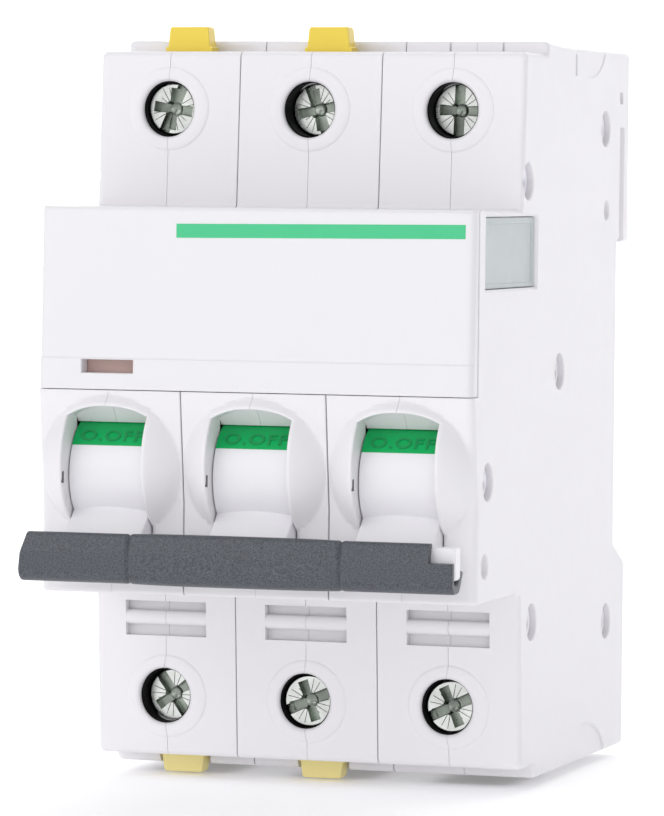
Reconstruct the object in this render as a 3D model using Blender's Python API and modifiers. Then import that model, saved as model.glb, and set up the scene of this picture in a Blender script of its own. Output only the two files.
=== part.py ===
"""Three-pole DIN-rail circuit breaker, built as separate pieces.

Frame: X across the poles, +Z up, the front faces -Y. The origin is the centre of
the rail seat. Lengths are written in millimetres and MM turns them into metres.
"""
from math import atan2, cos, pi, radians, sin

import bmesh
import bpy
from mathutils import Matrix, Vector

MM = 0.001

# Driving dimensions
PITCH = 18.0                # one module
POLES = (1, 2, 3)
CLIPPED_POLES = (1, 2)
WALL = 1.2
GAP = 0.3                   # between pieces that meet
SEAM = GAP / 2
SKIN = 0.6                  # how far a cutter passes a face
STEP = 0.1                  # keeps the faces of joined shapes from lying in one plane
PIN_PLAY = 0.35             # between a pin and the hole that turns on it
CUT_LENGTH = 12.0           # of a hole's cutter that passes right through one pole's piece
BORE_SIDES = 16
HOLE_SIDES = 14
PIN_SIDES = 12
SMALL_PIN_SIDES = 10

# Case outline
REAR = 5.5
TOP = 42.0
TOP_STEP = 42.5
TOP_STEP_Y = -34.7
TOP_SLOPE_Y = -25.6
BLOCK_TOP = 40.9
BLOCK_TOP_Y = -44.5
NOSE_TOP = 22.0
NOSE_ROOT_TOP_Y = -45.7
PANEL_SEAT_Y = -63.8
PANEL_LOW = 0.2
NOSE_PEAK_Y = -65.9
NOSE_BEND = -13.0
NOSE_BEND_Y = -64.2
NOSE_BOTTOM = -23.9
NOSE_BOTTOM_Y = -64.1
NOSE_ROOT_LOW_Y = -45.0
BLOCK_BOTTOM = -45.3
BLOCK_BOTTOM_Y = -43.6
BOTTOM_STEP_Y = -37.0
BOTTOM = -47.0
RECESS_TOP = 17.8
RECESS_LOW = -20.6
RECESS_LIP = -23.2

# Front panel, its window and the trip flag behind it
PANEL_TOP_Y = -65.2
PANEL_BACK_Y = -64.1
PANEL_BOTTOM = 0.5
WINDOW_X = (-21.4, -14.9)
WINDOW_Z = (2.35, 3.95)
FLAG_X = (-21.8, -14.2)
FLAG_Y = (-63.7, -62.9)
FLAG_Z = (1.1, 6.6)
FLAG_TRAVEL = 3.0

# Terminals
SCREW_Z = {"upper": 33.9, "lower": -38.0}
FACE_Y = -44.9
SCREW_HOLE_R = 3.4
HEAD_R = 3.05
HEAD_DEPTH = {("upper", 1): 1.6, ("upper", 2): 3.3, ("upper", 3): 2.9,
              ("lower", 1): 3.5, ("lower", 2): 2.0, ("lower", 3): 2.2}
HEAD_LENGTH = 1.9
SCREW_R = 2.2
SCREW_TIP_Y = -31.6
SCREW_SIDES = 20
CAGE_HALF_WIDTH = 5.1
CAGE_HALF_HEIGHT = 3.2
CAGE_FRONT_Y = -34.2
CAGE_BACK_Y = -19.9
CAGE_WALL = 2.2
CAGE_SIDE = 0.9
CAGE_REAR_WALL = 1.6
CAGE_BORE_R = 2.55
STRAP_Y = (-31.2, -29.7)
STRAP_HALF_WIDTH = 3.3
STRAP_TOP = 37.0
STRAP_BEND_Z = 28.6
STRAP_REAR_Y = -9.6
ENTRY_Y = (-34.2, -20.6)
ENTRY_HALF_WIDTH = 5.0
LABEL_SLOTS = ((-27.5, -26.3), (-30.6, -29.25))
LABEL_SLOT_HALF_WIDTH = 5.2
LABEL_SLOT_Y = (-47.0, -42.6)
HEAD_CHAMFER = 0.3
CROSS_HALF_WIDTH = 0.45
CROSS_REACH = 2.4
CROSS_DEPTH = 1.1

# Through rivets: place in Y and Z
RIVETS = {"rivet_upper_front": (-43.0, 25.5), "rivet_upper_rear": (-6.6, 32.2),
          "rivet_middle": (-27.75, 2.24), "rivet_toggle_axle": (-59.4, -9.7),
          "rivet_lower_front": (-39.5, -27.7), "rivet_lower_rear": (-3.75, -30.4)}
RIVET_R = 1.9
RIVET_HOLE_R = 2.27
RIVET_HALF_LENGTH = 26.2
RIVET_SIDES = 12

# Toggle, tie bar and the domes that guard the toggle
AXLE = RIVETS["rivet_toggle_axle"]
BARREL_R = 6.65
TOGGLE_HALF_WIDTH = 4.6
SLOT_HALF_WIDTH = 4.95
SLOT_Y = (-72.0, -61.0)
SLOT_Z = (-19.6, -1.5)
DOME_CENTRE = (-60.0, -8.3)
DOME_R = 9.9
DOME_STEPS = 20
DOME_FIRST_ANGLE = 32.0      # from the dome's rim plane, where the cap starts
DOME_RINGS = 4
DOME_TRIM_Y = (-75.0, -55.0)
DOME_TRIM_Z = (-20.0, 5.0)
LEVER = ((-62.0, -9.7), (-65.3, -14.2), (-68.4, -17.75), (-71.15, -17.75),
         (-71.15, -20.55), (-66.0, -20.0), (-61.0, -16.0))
LUG_HALF_WIDTH = 6.9
LUG_Y = (-71.05, -69.15)
LUG_Z = (-20.35, -17.95)
BARREL_SIDES = 32
BAR_HALF_LENGTH = 26.65
BAR_FRONT_Y = -73.0
BAR_BACK_Y = -68.1
BAR_Z = (-22.2, -16.1)
BAR_WALL = 1.3
BAR_NOTCH_X = 23.9
BAR_CHAMFER = 1.0

# Contact mechanism
CRANK_R = 4.2
CRANK_ANGLE = 35.0
CRANK_PIN_R = 0.7
CRANK_HOLE_R = 1.0
CRANK_HOLE_FLOOR = 2.4
ARM_PIVOT = (-34.0, -12.0)
ARM_PIN = (-45.0, -9.5)
ARM_TIP = (-20.9, -15.3)
ARM_CLOSING = 24.0
ARM_HALF_WIDTH = 2.0
ARM_SLOT_R = 2.1
ARM_PIVOT_PIN_R = 1.3
LINK_X = (4.95, 6.1)
LINK_END_R = 1.4
CRANK_PIN_END = 2.8
ARM_PIN_END = -2.4
PIN_ROOT = 0.4
ARM_FRONT_R = 3.1
ARM_HUB_R = 2.7
ARM_NECK_R = 2.4
ARM_TIP_R = 1.3
ARM_PAD_THICKNESS = 1.8
CONTACT_GAP = 0.4            # between the pads when the contacts are closed
FIXED_PAD_Y = (-23.0, -19.8)
FIXED_PAD_Z = (-7.4, -6.2)
CHUTE_Y = (-17.6, -5.0)
CHUTE_Z = (-27.0, -8.6)
CHUTE_PLATES = 8
CHUTE_BACK = 1.0
CHUTE_HALF_WIDTH = 6.0

# Magnetic and thermal trip
COIL_Z = 12.4
COIL_Y = (-36.2, -16.0)
COIL_R = 4.1
COIL_WIRE_R = 0.8
COIL_TURNS = 6
COIL_POINTS = 10
PLUNGER_R = 2.0
PLUNGER_Y = (-40.6, -20.0)
PLUNGER_TIP_Y = -43.4
PLUNGER_TIP_R = 1.0
YOKE_Y = (-38.7, -13.4)
YOKE_Z = (6.4, 20.2)
YOKE_PLATE = 1.2
YOKE_HALF_WIDTH = 5.6
TRIP_AXIS = (-46.6, 17.5)
TRIP_SHAFT_R = 1.4
TRIP_SHAFT_HALF_LENGTH = 24.2
TRIP_PADDLE_Z = 3.0
TRIP_PADDLE_Y = (-46.5, -45.5)
TRIP_PADDLE_REACH = 2.6
BIMETAL_Y = (-42.45, -41.7)
BIMETAL_X = (4.3, 6.9)
BIMETAL_TOP = 5.0
BIMETAL_FOOT_Z = (-33.6, -32.6)

# Side port for accessories, on the right-hand face
PORT_Y = (-61.3, -38.7)
PORT_Z = (12.75, 21.3)
PORT_COVER_X = (25.85, 26.6)

# DIN clips
CLIP_TAB_Y = (-37.9, -35.3)
CLIP_TAB_END = {"upper": 44.1, "lower": -48.2}
CLIP_CROSS_Z = {"upper": (37.5, 38.7), "lower": (-42.6, -41.6)}
CLIP_STRIP_Z = {"upper": (34.5, 36.0), "lower": (-39.2, -37.6)}
CLIP_HOOK_Z = {"upper": 16.3, "lower": -16.3}
CLIP_SIDE_X = (5.6, 7.2)
CLIP_SIDE_GAP = 0.25
CLIP_LEG_Y = (1.5, 3.7)
TAB_HALF_WIDTH = 3.05


# Scene, collections and materials

def clear_scene():
    for obj in list(bpy.data.objects):
        bpy.data.objects.remove(obj, do_unlink=True)


def new_collection(name):
    collection = bpy.data.collections.new(name)
    bpy.context.scene.collection.children.link(collection)
    return collection


def new_material(name, colour, roughness, metallic=0.0):
    material = bpy.data.materials.new(name)
    material.use_nodes = True
    shader = material.node_tree.nodes["Principled BSDF"]
    shader.inputs["Base Color"].default_value = (*colour, 1.0)
    shader.inputs["Roughness"].default_value = roughness
    shader.inputs["Metallic"].default_value = metallic
    return material


clear_scene()
PARTS = new_collection("circuit_breaker")
CUTTERS = new_collection("cutters")

CASE_WHITE = new_material("case_white", (0.82, 0.81, 0.83), 0.45)
PANEL_WHITE = new_material("panel_white", (0.86, 0.86, 0.88), 0.3)
TOGGLE_WHITE = new_material("toggle_white", (0.85, 0.85, 0.87), 0.35)
BAR_GREY = new_material("bar_grey", (0.06, 0.068, 0.08), 0.5)
CLIP_YELLOW = new_material("clip_yellow", (0.9, 0.65, 0.06), 0.4)
PORT_GREY = new_material("port_grey", (0.54, 0.58, 0.59), 0.4)
FLAG_RED = new_material("flag_red", (0.55, 0.36, 0.33), 0.5)
STEEL = new_material("zinc_steel", (0.6, 0.62, 0.6), 0.3, 1.0)
COPPER = new_material("copper", (0.78, 0.42, 0.26), 0.3, 1.0)
BLACK_PLASTIC = new_material("black_plastic", (0.03, 0.03, 0.03), 0.5)


# Small geometry tools

def mesh_object(name, bm, material=None):
    """A finished bmesh, in millimetres, as an object; a cutter has no material."""
    bmesh.ops.recalc_face_normals(bm, faces=bm.faces)
    bmesh.ops.scale(bm, vec=(MM, MM, MM), verts=bm.verts)
    mesh = bpy.data.meshes.new(name)
    bm.to_mesh(mesh)
    bm.free()
    obj = bpy.data.objects.new(name, mesh)
    if material:
        mesh.materials.append(material)
        PARTS.objects.link(obj)
    else:
        CUTTERS.objects.link(obj)
        obj.hide_render = True
        obj.display_type = "WIRE"
    return obj


def add_box(bm, x, y, z):
    """Add a box given as (low, high) along each axis."""
    size = Vector((x[1] - x[0], y[1] - y[0], z[1] - z[0]))
    centre = Vector((x[0] + x[1], y[0] + y[1], z[0] + z[1])) / 2
    made = bmesh.ops.create_cube(bm, size=1.0)
    bmesh.ops.scale(bm, vec=size, verts=made["verts"])
    bmesh.ops.translate(bm, vec=centre, verts=made["verts"])
    return made["verts"]


def add_cylinder(bm, axis, centre, radius, length, sides):
    """Add a capped cylinder about X or Y through its centre point."""
    turn = Matrix.Rotation(pi / 2, 4, "Y" if axis == "X" else "X")
    bmesh.ops.create_cone(bm, cap_ends=True, segments=sides, radius1=radius, radius2=radius,
                          depth=length, matrix=Matrix.Translation(centre) @ turn)


def box(name, x, y, z, material=None):
    bm = bmesh.new()
    add_box(bm, x, y, z)
    return mesh_object(name, bm, material)


def cylinder(name, axis, centre, radius, length, sides, material=None):
    bm = bmesh.new()
    add_cylinder(bm, axis, centre, radius, length, sides)
    return mesh_object(name, bm, material)


def baked(obj, name, material=None):
    """Turn a curve, or an object with modifiers, into a plain welded mesh object."""
    evaluated = obj.evaluated_get(bpy.context.evaluated_depsgraph_get())
    mesh = bpy.data.meshes.new_from_object(evaluated)
    bm = bmesh.new()
    bm.from_mesh(mesh)
    bmesh.ops.transform(bm, matrix=obj.matrix_world, verts=bm.verts)
    bmesh.ops.remove_doubles(bm, verts=bm.verts, dist=0.00001)
    bmesh.ops.scale(bm, vec=(1 / MM, 1 / MM, 1 / MM), verts=bm.verts)
    bpy.data.objects.remove(obj, do_unlink=True)
    bpy.data.meshes.remove(mesh)
    return mesh_object(name, bm, material)


def flat_outline(name, points, x, material=None):
    """An outline in the Y-Z plane, extruded between two X values."""
    curve = bpy.data.curves.new(name, "CURVE")
    curve.dimensions = "2D"
    curve.fill_mode = "BOTH"
    curve.extrude = (x[1] - x[0]) / 2 * MM
    spline = curve.splines.new("POLY")
    spline.points.add(len(points) - 1)
    for target, (y, z) in zip(spline.points, points):
        target.co = (y * MM, z * MM, 0.0, 1.0)
    spline.use_cyclic_u = True
    obj = bpy.data.objects.new(name, curve)
    bpy.context.scene.collection.objects.link(obj)
    facing = Matrix(((0, 0, 1, 0), (1, 0, 0, 0), (0, 1, 0, 0), (0, 0, 0, 1)))
    obj.matrix_world = Matrix.Translation(((x[0] + x[1]) / 2 * MM, 0, 0)) @ facing
    bpy.context.view_layer.update()
    return baked(obj, name, material)


def turned_about_y(name, profile, x, z, steps, material=None):
    """A solid of revolution about the Y direction through (x, z).

    The profile lists (radius, y) from the rear end to the front end.
    """
    mesh = bpy.data.meshes.new(name)
    verts = [(radius * MM, 0.0, -y * MM) for radius, y in profile]
    mesh.from_pydata(verts, [(i, i + 1) for i in range(len(verts) - 1)], [])
    obj = bpy.data.objects.new(name, mesh)
    bpy.context.scene.collection.objects.link(obj)
    screw = obj.modifiers.new("turn", "SCREW")
    screw.steps = steps
    screw.render_steps = steps
    screw.use_merge_vertices = True
    screw.merge_threshold = 0.00001
    obj.matrix_world = Matrix.Translation((x * MM, 0, z * MM)) @ Matrix.Rotation(pi / 2, 4, "X")
    bpy.context.view_layer.update()
    return baked(obj, name, material)


def combine(obj, operation, other):
    modifier = obj.modifiers.new(other.name, "BOOLEAN")
    modifier.operation = operation
    modifier.solver = "EXACT"
    modifier.object = other


def cut(obj, *others):
    for other in others:
        combine(obj, "DIFFERENCE", other)


def join(obj, *others):
    for other in others:
        combine(obj, "UNION", other)


def set_origin(obj, x, y, z):
    """Put a piece's origin on its joint axis and leave its shape where it is."""
    shift = Vector((x, y, z)) * MM
    obj.data.transform(Matrix.Translation(-shift))
    obj.location = shift


def inset(points, wall):
    """The outline moved inwards by a wall thickness; points run clockwise."""
    moved = []
    count = len(points)
    for i in range(count):
        before, here, after = (Vector(points[(i + step) % count]) for step in (-1, 0, 1))
        first = (here - before).normalized()
        second = (after - here).normalized()
        inward_first = Vector((first.y, -first.x))
        inward_second = Vector((second.y, -second.x))
        mitre = (inward_first + inward_second).normalized()
        moved.append(tuple(here + mitre * (wall / mitre.dot(inward_first))))
    return moved


def tapered_bar(a, b, radius_a, radius_b, steps=6):
    """Outline of a bar with round ends, from a to b in the Y-Z plane."""
    heading = atan2(b[1] - a[1], b[0] - a[0])
    points = []
    for (cy, cz), radius, start in ((a, radius_a, heading + pi / 2), (b, radius_b, heading - pi / 2)):
        for i in range(steps + 1):
            angle = start + pi * i / steps
            points.append((cy + radius * cos(angle), cz + radius * sin(angle)))
    return points


def pole_x(pole):
    return (pole - 2) * PITCH


def shifted(pair, offset):
    return (pair[0] + offset, pair[1] + offset)


def spread(half, offset=0.0):
    return (offset - half, offset + half)


# Case halves

CASE_OUTLINE = [
    (REAR, TOP), (REAR, RECESS_TOP), (0.0, RECESS_TOP), (0.0, RECESS_LOW), (REAR, RECESS_LIP),
    (REAR, BOTTOM), (BOTTOM_STEP_Y, BOTTOM), (BOTTOM_STEP_Y, BLOCK_BOTTOM),
    (BLOCK_BOTTOM_Y, BLOCK_BOTTOM), (NOSE_ROOT_LOW_Y, NOSE_BOTTOM), (NOSE_BOTTOM_Y, NOSE_BOTTOM),
    (NOSE_BEND_Y, NOSE_BEND), (NOSE_PEAK_Y, PANEL_LOW), (PANEL_SEAT_Y, PANEL_LOW),
    (PANEL_SEAT_Y, NOSE_TOP), (NOSE_ROOT_TOP_Y, NOSE_TOP), (BLOCK_TOP_Y, BLOCK_TOP),
    (TOP_STEP_Y, BLOCK_TOP), (TOP_STEP_Y, TOP_STEP), (TOP_SLOPE_Y, TOP)]

SEAT_TONGUE_X = 2.0
SEAT_TONGUE_Z = 4.0


def through_cutters():
    """Cutters that every case half shares: rivet holes and the trip shaft's holes."""
    bm = bmesh.new()
    for y, z in RIVETS.values():
        add_cylinder(bm, "X", (0, y, z), RIVET_HOLE_R, 60.0, RIVET_SIDES)
    add_cylinder(bm, "X", (0, *TRIP_AXIS), TRIP_SHAFT_R + 0.4, 24.0, RIVET_SIDES)
    return mesh_object("cut_rivets", bm)


def pole_cutters(pole):
    """Cutters of one pole that reach both of its halves."""
    x = pole_x(pole)
    cutters = []
    for end, z in SCREW_Z.items():
        cutters.append(cylinder(f"cut_screw_{end}_{pole}", "Y", (x, FACE_Y, z),
                                SCREW_HOLE_R, 6.0, SCREW_SIDES))
        wall = (TOP - WALL - SKIN, TOP_STEP + SKIN) if end == "upper" else \
            (BOTTOM - SKIN, BOTTOM + WALL + SKIN)
        cutters.append(box(f"cut_entry_{end}_{pole}", spread(ENTRY_HALF_WIDTH, x), ENTRY_Y, wall))
        tab_y = (CLIP_TAB_Y[0] - GAP, CLIP_TAB_Y[1] + GAP)
        tab_z = (BLOCK_TOP - WALL - SKIN, BLOCK_TOP + SKIN) if end == "upper" else \
            (BLOCK_BOTTOM - SKIN, BLOCK_BOTTOM + WALL + SKIN)
        tab_x = (x - TAB_HALF_WIDTH - GAP, x + CLIP_SIDE_X[1] + CLIP_SIDE_GAP)
        cutters.append(box(f"cut_tab_{end}_{pole}", tab_x, tab_y, tab_z))
        if end == "lower":
            cutters.append(box(f"cut_tab_step_{pole}", spread(TAB_HALF_WIDTH + GAP, x), tab_y,
                               (BOTTOM - SKIN, BLOCK_BOTTOM + SKIN)))
    slots = bmesh.new()
    for z in LABEL_SLOTS:
        add_box(slots, spread(LABEL_SLOT_HALF_WIDTH, x), LABEL_SLOT_Y, z)
    cutters.append(mesh_object(f"cut_label_slots_{pole}", slots))
    cutters.append(box(f"cut_toggle_slot_{pole}", spread(SLOT_HALF_WIDTH, x), SLOT_Y, SLOT_Z))
    return cutters


def dome(pole):
    """The round guard on the nose, a cap of a sphere that the toggle's slot splits."""
    first = DOME_FIRST_ANGLE
    rear = DOME_CENTRE[0] - DOME_R * sin(radians(first)) + 2.0
    profile = [(0.0, rear), (DOME_R * cos(radians(first)), rear)]
    for i in range(DOME_RINGS + 1):
        angle = radians(first + (90 - first) * i / DOME_RINGS)
        radius = DOME_R * cos(angle) if i < DOME_RINGS else 0.0
        profile.append((radius, DOME_CENTRE[0] - DOME_R * sin(angle)))
    return turned_about_y(f"add_dome_{pole}", profile, pole_x(pole), DOME_CENTRE[1], DOME_STEPS)


def case_half(pole, side, shared):
    """One moulded half: a tray, open at the pole's middle plane."""
    x = pole_x(pole)
    outermost = (pole == 1 and side < 0) or (pole == 3 and side > 0)
    face = PITCH / 2 - (0.0 if outermost else SEAM)
    name = f"case_{'left' if side < 0 else 'right'}_{pole}"
    span = sorted((x + side * SEAM, x + side * face))
    half = flat_outline(name, CASE_OUTLINE, span, CASE_WHITE)

    dome_half = dome(pole)
    dome_name = f"add_dome_half_{name}"
    trimmer = box(f"trim_{dome_name}", span, DOME_TRIM_Y, DOME_TRIM_Z)
    combine(dome_half, "INTERSECT", trimmer)
    join(half, baked(dome_half, dome_name))
    bpy.data.objects.remove(trimmer, do_unlink=True)

    hollow = sorted((x - side, x + side * (PITCH / 2 - WALL - SEAM)))
    cut(half, flat_outline(f"cut_hollow_{name}", inset(CASE_OUTLINE, WALL), hollow))
    cut(half, *shared)

    if side > 0:
        pin_x = (x - ARM_HALF_WIDTH - 1.0, x + face - WALL / 2)
        join(half, cylinder(f"add_arm_pin_{pole}", "X", (sum(pin_x) / 2, *ARM_PIVOT),
                            ARM_PIVOT_PIN_R, pin_x[1] - pin_x[0], RIVET_SIDES))
        join(half, box(f"add_seat_tongue_{pole}", (x - SEAT_TONGUE_X, x + 1.0), (-WALL, 0.0),
                       spread(SEAT_TONGUE_Z)))
        legs = bmesh.new()
        leg_x = (x + CLIP_SIDE_X[0] - CLIP_SIDE_GAP, x + CLIP_SIDE_X[1] + CLIP_SIDE_GAP)
        leg_y = (CLIP_LEG_Y[0] - GAP, CLIP_LEG_Y[1] + GAP)
        add_box(legs, leg_x, leg_y, (RECESS_TOP - SKIN, RECESS_TOP + WALL + SKIN))
        add_box(legs, leg_x, leg_y, (RECESS_LIP - WALL, RECESS_LOW + SKIN))
        cut(half, mesh_object(f"cut_clip_legs_{pole}", legs))
    else:
        cut(half, box(f"cut_seat_tongue_{pole}", (x - SEAT_TONGUE_X - GAP, x + 1.0),
                      (-WALL - SKIN, SKIN), spread(SEAT_TONGUE_Z + GAP)))
    if pole == 1:
        cut(half, box(f"cut_flag_{name}", (FLAG_X[0] - GAP, FLAG_X[1] + GAP),
                      (PANEL_SEAT_Y - SKIN, PANEL_SEAT_Y + WALL + SKIN),
                      (FLAG_Z[0] - GAP, FLAG_Z[1] + FLAG_TRAVEL + GAP)))
    if pole == 3 and side > 0:
        cut(half, box("cut_port", (x + PITCH / 2 - WALL - GAP, x + PITCH), PORT_Y, PORT_Z))
    return half


def build_case():
    shared = through_cutters()
    for pole in POLES:
        cutters = [shared] + pole_cutters(pole)
        for side in (-1, 1):
            case_half(pole, side, cutters)
    box("port_cover", PORT_COVER_X, (PORT_Y[0] + GAP, PORT_Y[1] - GAP),
        (PORT_Z[0] + GAP, PORT_Z[1] - GAP), PORT_GREY)
    for name, (y, z) in RIVETS.items():
        cylinder(name, "X", (0, y, z), RIVET_R, 2 * RIVET_HALF_LENGTH, RIVET_SIDES, STEEL)


def build_front_panel():
    outline = [(PANEL_BACK_Y, NOSE_TOP), (PANEL_BACK_Y, PANEL_BOTTOM), (NOSE_PEAK_Y, PANEL_BOTTOM),
               (PANEL_TOP_Y, NOSE_TOP)]
    panel = flat_outline("front_panel", outline, spread(PITCH * 1.5 - SEAM), PANEL_WHITE)
    cut(panel, box("cut_window", WINDOW_X, (NOSE_PEAK_Y - SKIN, PANEL_BACK_Y + SKIN), WINDOW_Z))
    flag = box("trip_flag", FLAG_X, FLAG_Y, FLAG_Z, FLAG_RED)
    set_origin(flag, sum(FLAG_X) / 2, sum(FLAG_Y) / 2, FLAG_Z[0])


# Handle: three toggles and the bar that ties them

def crank_point():
    angle = radians(CRANK_ANGLE)
    return (AXLE[0] + CRANK_R * cos(angle), AXLE[1] + CRANK_R * sin(angle))


def build_toggle(pole):
    x = pole_x(pole)
    toggle = cylinder(f"toggle_{pole}", "X", (x, *AXLE), BARREL_R, 2 * TOGGLE_HALF_WIDTH,
                      BARREL_SIDES, TOGGLE_WHITE)
    join(toggle, flat_outline(f"add_lever_{pole}", LEVER, spread(TOGGLE_HALF_WIDTH - STEP, x)))
    join(toggle, box(f"add_lug_{pole}", spread(LUG_HALF_WIDTH, x), LUG_Y, LUG_Z))
    cut(toggle, cylinder(f"cut_axle_{pole}", "X", (x, *AXLE), RIVET_R + PIN_PLAY, CUT_LENGTH, BORE_SIDES))
    hole_x = (x + CRANK_HOLE_FLOOR, x + TOGGLE_HALF_WIDTH + SKIN)
    cut(toggle, cylinder(f"cut_crank_{pole}", "X", (sum(hole_x) / 2, *crank_point()),
                         CRANK_HOLE_R, hole_x[1] - hole_x[0], PIN_SIDES))
    set_origin(toggle, x, *AXLE)


def build_tie_bar():
    low, high = BAR_Z
    section = [(BAR_BACK_Y, high), (BAR_BACK_Y, high - BAR_WALL),
               (BAR_FRONT_Y + BAR_WALL, high - BAR_WALL), (BAR_FRONT_Y + BAR_WALL, low + BAR_WALL),
               (BAR_BACK_Y, low + BAR_WALL), (BAR_BACK_Y, low), (BAR_FRONT_Y + BAR_CHAMFER, low),
               (BAR_FRONT_Y, low + BAR_CHAMFER), (BAR_FRONT_Y, high - BAR_CHAMFER),
               (BAR_FRONT_Y + BAR_CHAMFER, high)]
    bar = flat_outline("tie_bar", section, spread(BAR_HALF_LENGTH), BAR_GREY)
    cut(bar, box("cut_bar_notch", (BAR_NOTCH_X, BAR_HALF_LENGTH + SKIN),
                 (BAR_FRONT_Y + BAR_WALL, BAR_BACK_Y + SKIN), (low + BAR_WALL, high + SKIN)))
    set_origin(bar, 0.0, *AXLE)


# Contacts, arc chute and the link from the toggle

def build_link(pole):
    x = pole_x(pole)
    crank = crank_point()
    outline = tapered_bar(crank, ARM_PIN, LINK_END_R, LINK_END_R)
    link = flat_outline(f"link_{pole}", outline, shifted(LINK_X, x), STEEL)
    for name, point, reach in (("crank", crank, CRANK_PIN_END), ("arm", ARM_PIN, ARM_PIN_END)):
        span = (x + reach, x + LINK_X[0] + PIN_ROOT)
        join(link, cylinder(f"add_{name}_pin_{pole}", "X", (sum(span) / 2, *point), CRANK_PIN_R,
                            span[1] - span[0], SMALL_PIN_SIDES))
    set_origin(link, x, *crank)


def build_contact_arm(pole):
    x = pole_x(pole)
    width = spread(ARM_HALF_WIDTH, x)
    arm = flat_outline(f"contact_arm_{pole}", tapered_bar(ARM_PIN, ARM_PIVOT, ARM_FRONT_R, ARM_HUB_R),
                       width, COPPER)
    join(arm, flat_outline(f"add_arm_rear_{pole}", tapered_bar(ARM_PIVOT, ARM_TIP, ARM_NECK_R, ARM_TIP_R),
                           spread(ARM_HALF_WIDTH - STEP, x)))
    pad = bmesh.new()
    pad_z = FIXED_PAD_Z[0] - CONTACT_GAP
    verts = add_box(pad, spread(ARM_HALF_WIDTH - 2 * STEP, x), (FIXED_PAD_Y[0] + GAP, FIXED_PAD_Y[1] - GAP),
                    (pad_z - ARM_PAD_THICKNESS, pad_z))
    bmesh.ops.rotate(pad, verts=verts, cent=(x, *ARM_PIVOT),
                     matrix=Matrix.Rotation(radians(-ARM_CLOSING), 3, "X"))
    join(arm, mesh_object(f"add_arm_pad_{pole}", pad))
    cut(arm, cylinder(f"cut_arm_slot_{pole}", "X", (x, *ARM_PIN), ARM_SLOT_R, CUT_LENGTH, HOLE_SIDES),
        cylinder(f"cut_arm_pivot_{pole}", "X", (x, *ARM_PIVOT), ARM_PIVOT_PIN_R + PIN_PLAY, CUT_LENGTH,
                 HOLE_SIDES))
    set_origin(arm, x, *ARM_PIVOT)


def build_fixed_contact(pole):
    """The copper strap from the upper terminal down to the fixed contact pad."""
    x = pole_x(pole)
    bend = STRAP_BEND_Z
    rear = STRAP_REAR_Y
    thick = STRAP_Y[1] - STRAP_Y[0]
    foot = FIXED_PAD_Z[1] - 2 * STEP
    path = [(STRAP_Y[0], STRAP_TOP), (STRAP_Y[1], STRAP_TOP), (STRAP_Y[1], bend), (rear, bend),
            (rear, foot), (FIXED_PAD_Y[0], foot), (FIXED_PAD_Y[0], foot + thick),
            (rear - thick, foot + thick), (rear - thick, bend - thick), (STRAP_Y[0], bend - thick)]
    strap = flat_outline(f"fixed_contact_{pole}", path, spread(STRAP_HALF_WIDTH, x), COPPER)
    join(strap, box(f"add_fixed_pad_{pole}", spread(ARM_HALF_WIDTH - 2 * STEP, x), FIXED_PAD_Y, FIXED_PAD_Z))


def build_arc_chute(pole):
    """A stack of steel plates on one insulating back, cut as a comb."""
    low, high = CHUTE_Z
    front, rear = CHUTE_Y
    pitch = (high - low) / (CHUTE_PLATES - 0.5)
    points = [(rear, high), (rear, low)]
    for i in range(CHUTE_PLATES):
        base = low + i * pitch
        points += [(front, base), (front, base + pitch / 2)]
        if i < CHUTE_PLATES - 1:
            points += [(rear - CHUTE_BACK, base + pitch / 2), (rear - CHUTE_BACK, base + pitch)]
    flat_outline(f"arc_chute_{pole}", points, spread(CHUTE_HALF_WIDTH, pole_x(pole)), STEEL)


# Magnetic and thermal trip

def build_coil(pole):
    x = pole_x(pole)
    curve = bpy.data.curves.new(f"coil_{pole}", "CURVE")
    curve.dimensions = "3D"
    curve.bevel_depth = COIL_WIRE_R * MM
    curve.bevel_resolution = 1
    curve.use_fill_caps = True
    spline = curve.splines.new("POLY")
    count = COIL_TURNS * COIL_POINTS + 1
    spline.points.add(count - 1)
    for i, target in enumerate(spline.points):
        angle = 2 * pi * i / COIL_POINTS
        y = COIL_Y[0] + (COIL_Y[1] - COIL_Y[0]) * i / (count - 1)
        target.co = ((x + COIL_R * cos(angle)) * MM, y * MM, (COIL_Z + COIL_R * sin(angle)) * MM, 1.0)
    obj = bpy.data.objects.new(f"coil_curve_{pole}", curve)
    bpy.context.scene.collection.objects.link(obj)
    bpy.context.view_layer.update()
    baked(obj, f"coil_{pole}", COPPER)


def build_yoke(pole):
    x = pole_x(pole)
    front, rear = YOKE_Y
    low, high = YOKE_Z
    plate = YOKE_PLATE
    section = [(front, high), (front, low), (front + plate, low), (front + plate, high - plate),
               (rear - plate, high - plate), (rear - plate, low), (rear, low), (rear, high)]
    yoke = flat_outline(f"magnet_yoke_{pole}", section, spread(YOKE_HALF_WIDTH, x), STEEL)
    cut(yoke, cylinder(f"cut_yoke_{pole}", "Y", (x, front, COIL_Z), PLUNGER_R + 0.4, 6.0, HOLE_SIDES))


def build_plunger(pole):
    x = pole_x(pole)
    profile = [(0.0, PLUNGER_Y[1]), (PLUNGER_R, PLUNGER_Y[1]), (PLUNGER_R, PLUNGER_Y[0]),
               (PLUNGER_TIP_R, PLUNGER_Y[0]), (PLUNGER_TIP_R, PLUNGER_TIP_Y), (0.0, PLUNGER_TIP_Y)]
    plunger = turned_about_y(f"plunger_{pole}", profile, x, COIL_Z, PIN_SIDES, STEEL)
    set_origin(plunger, x, 0.0, COIL_Z)


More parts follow.
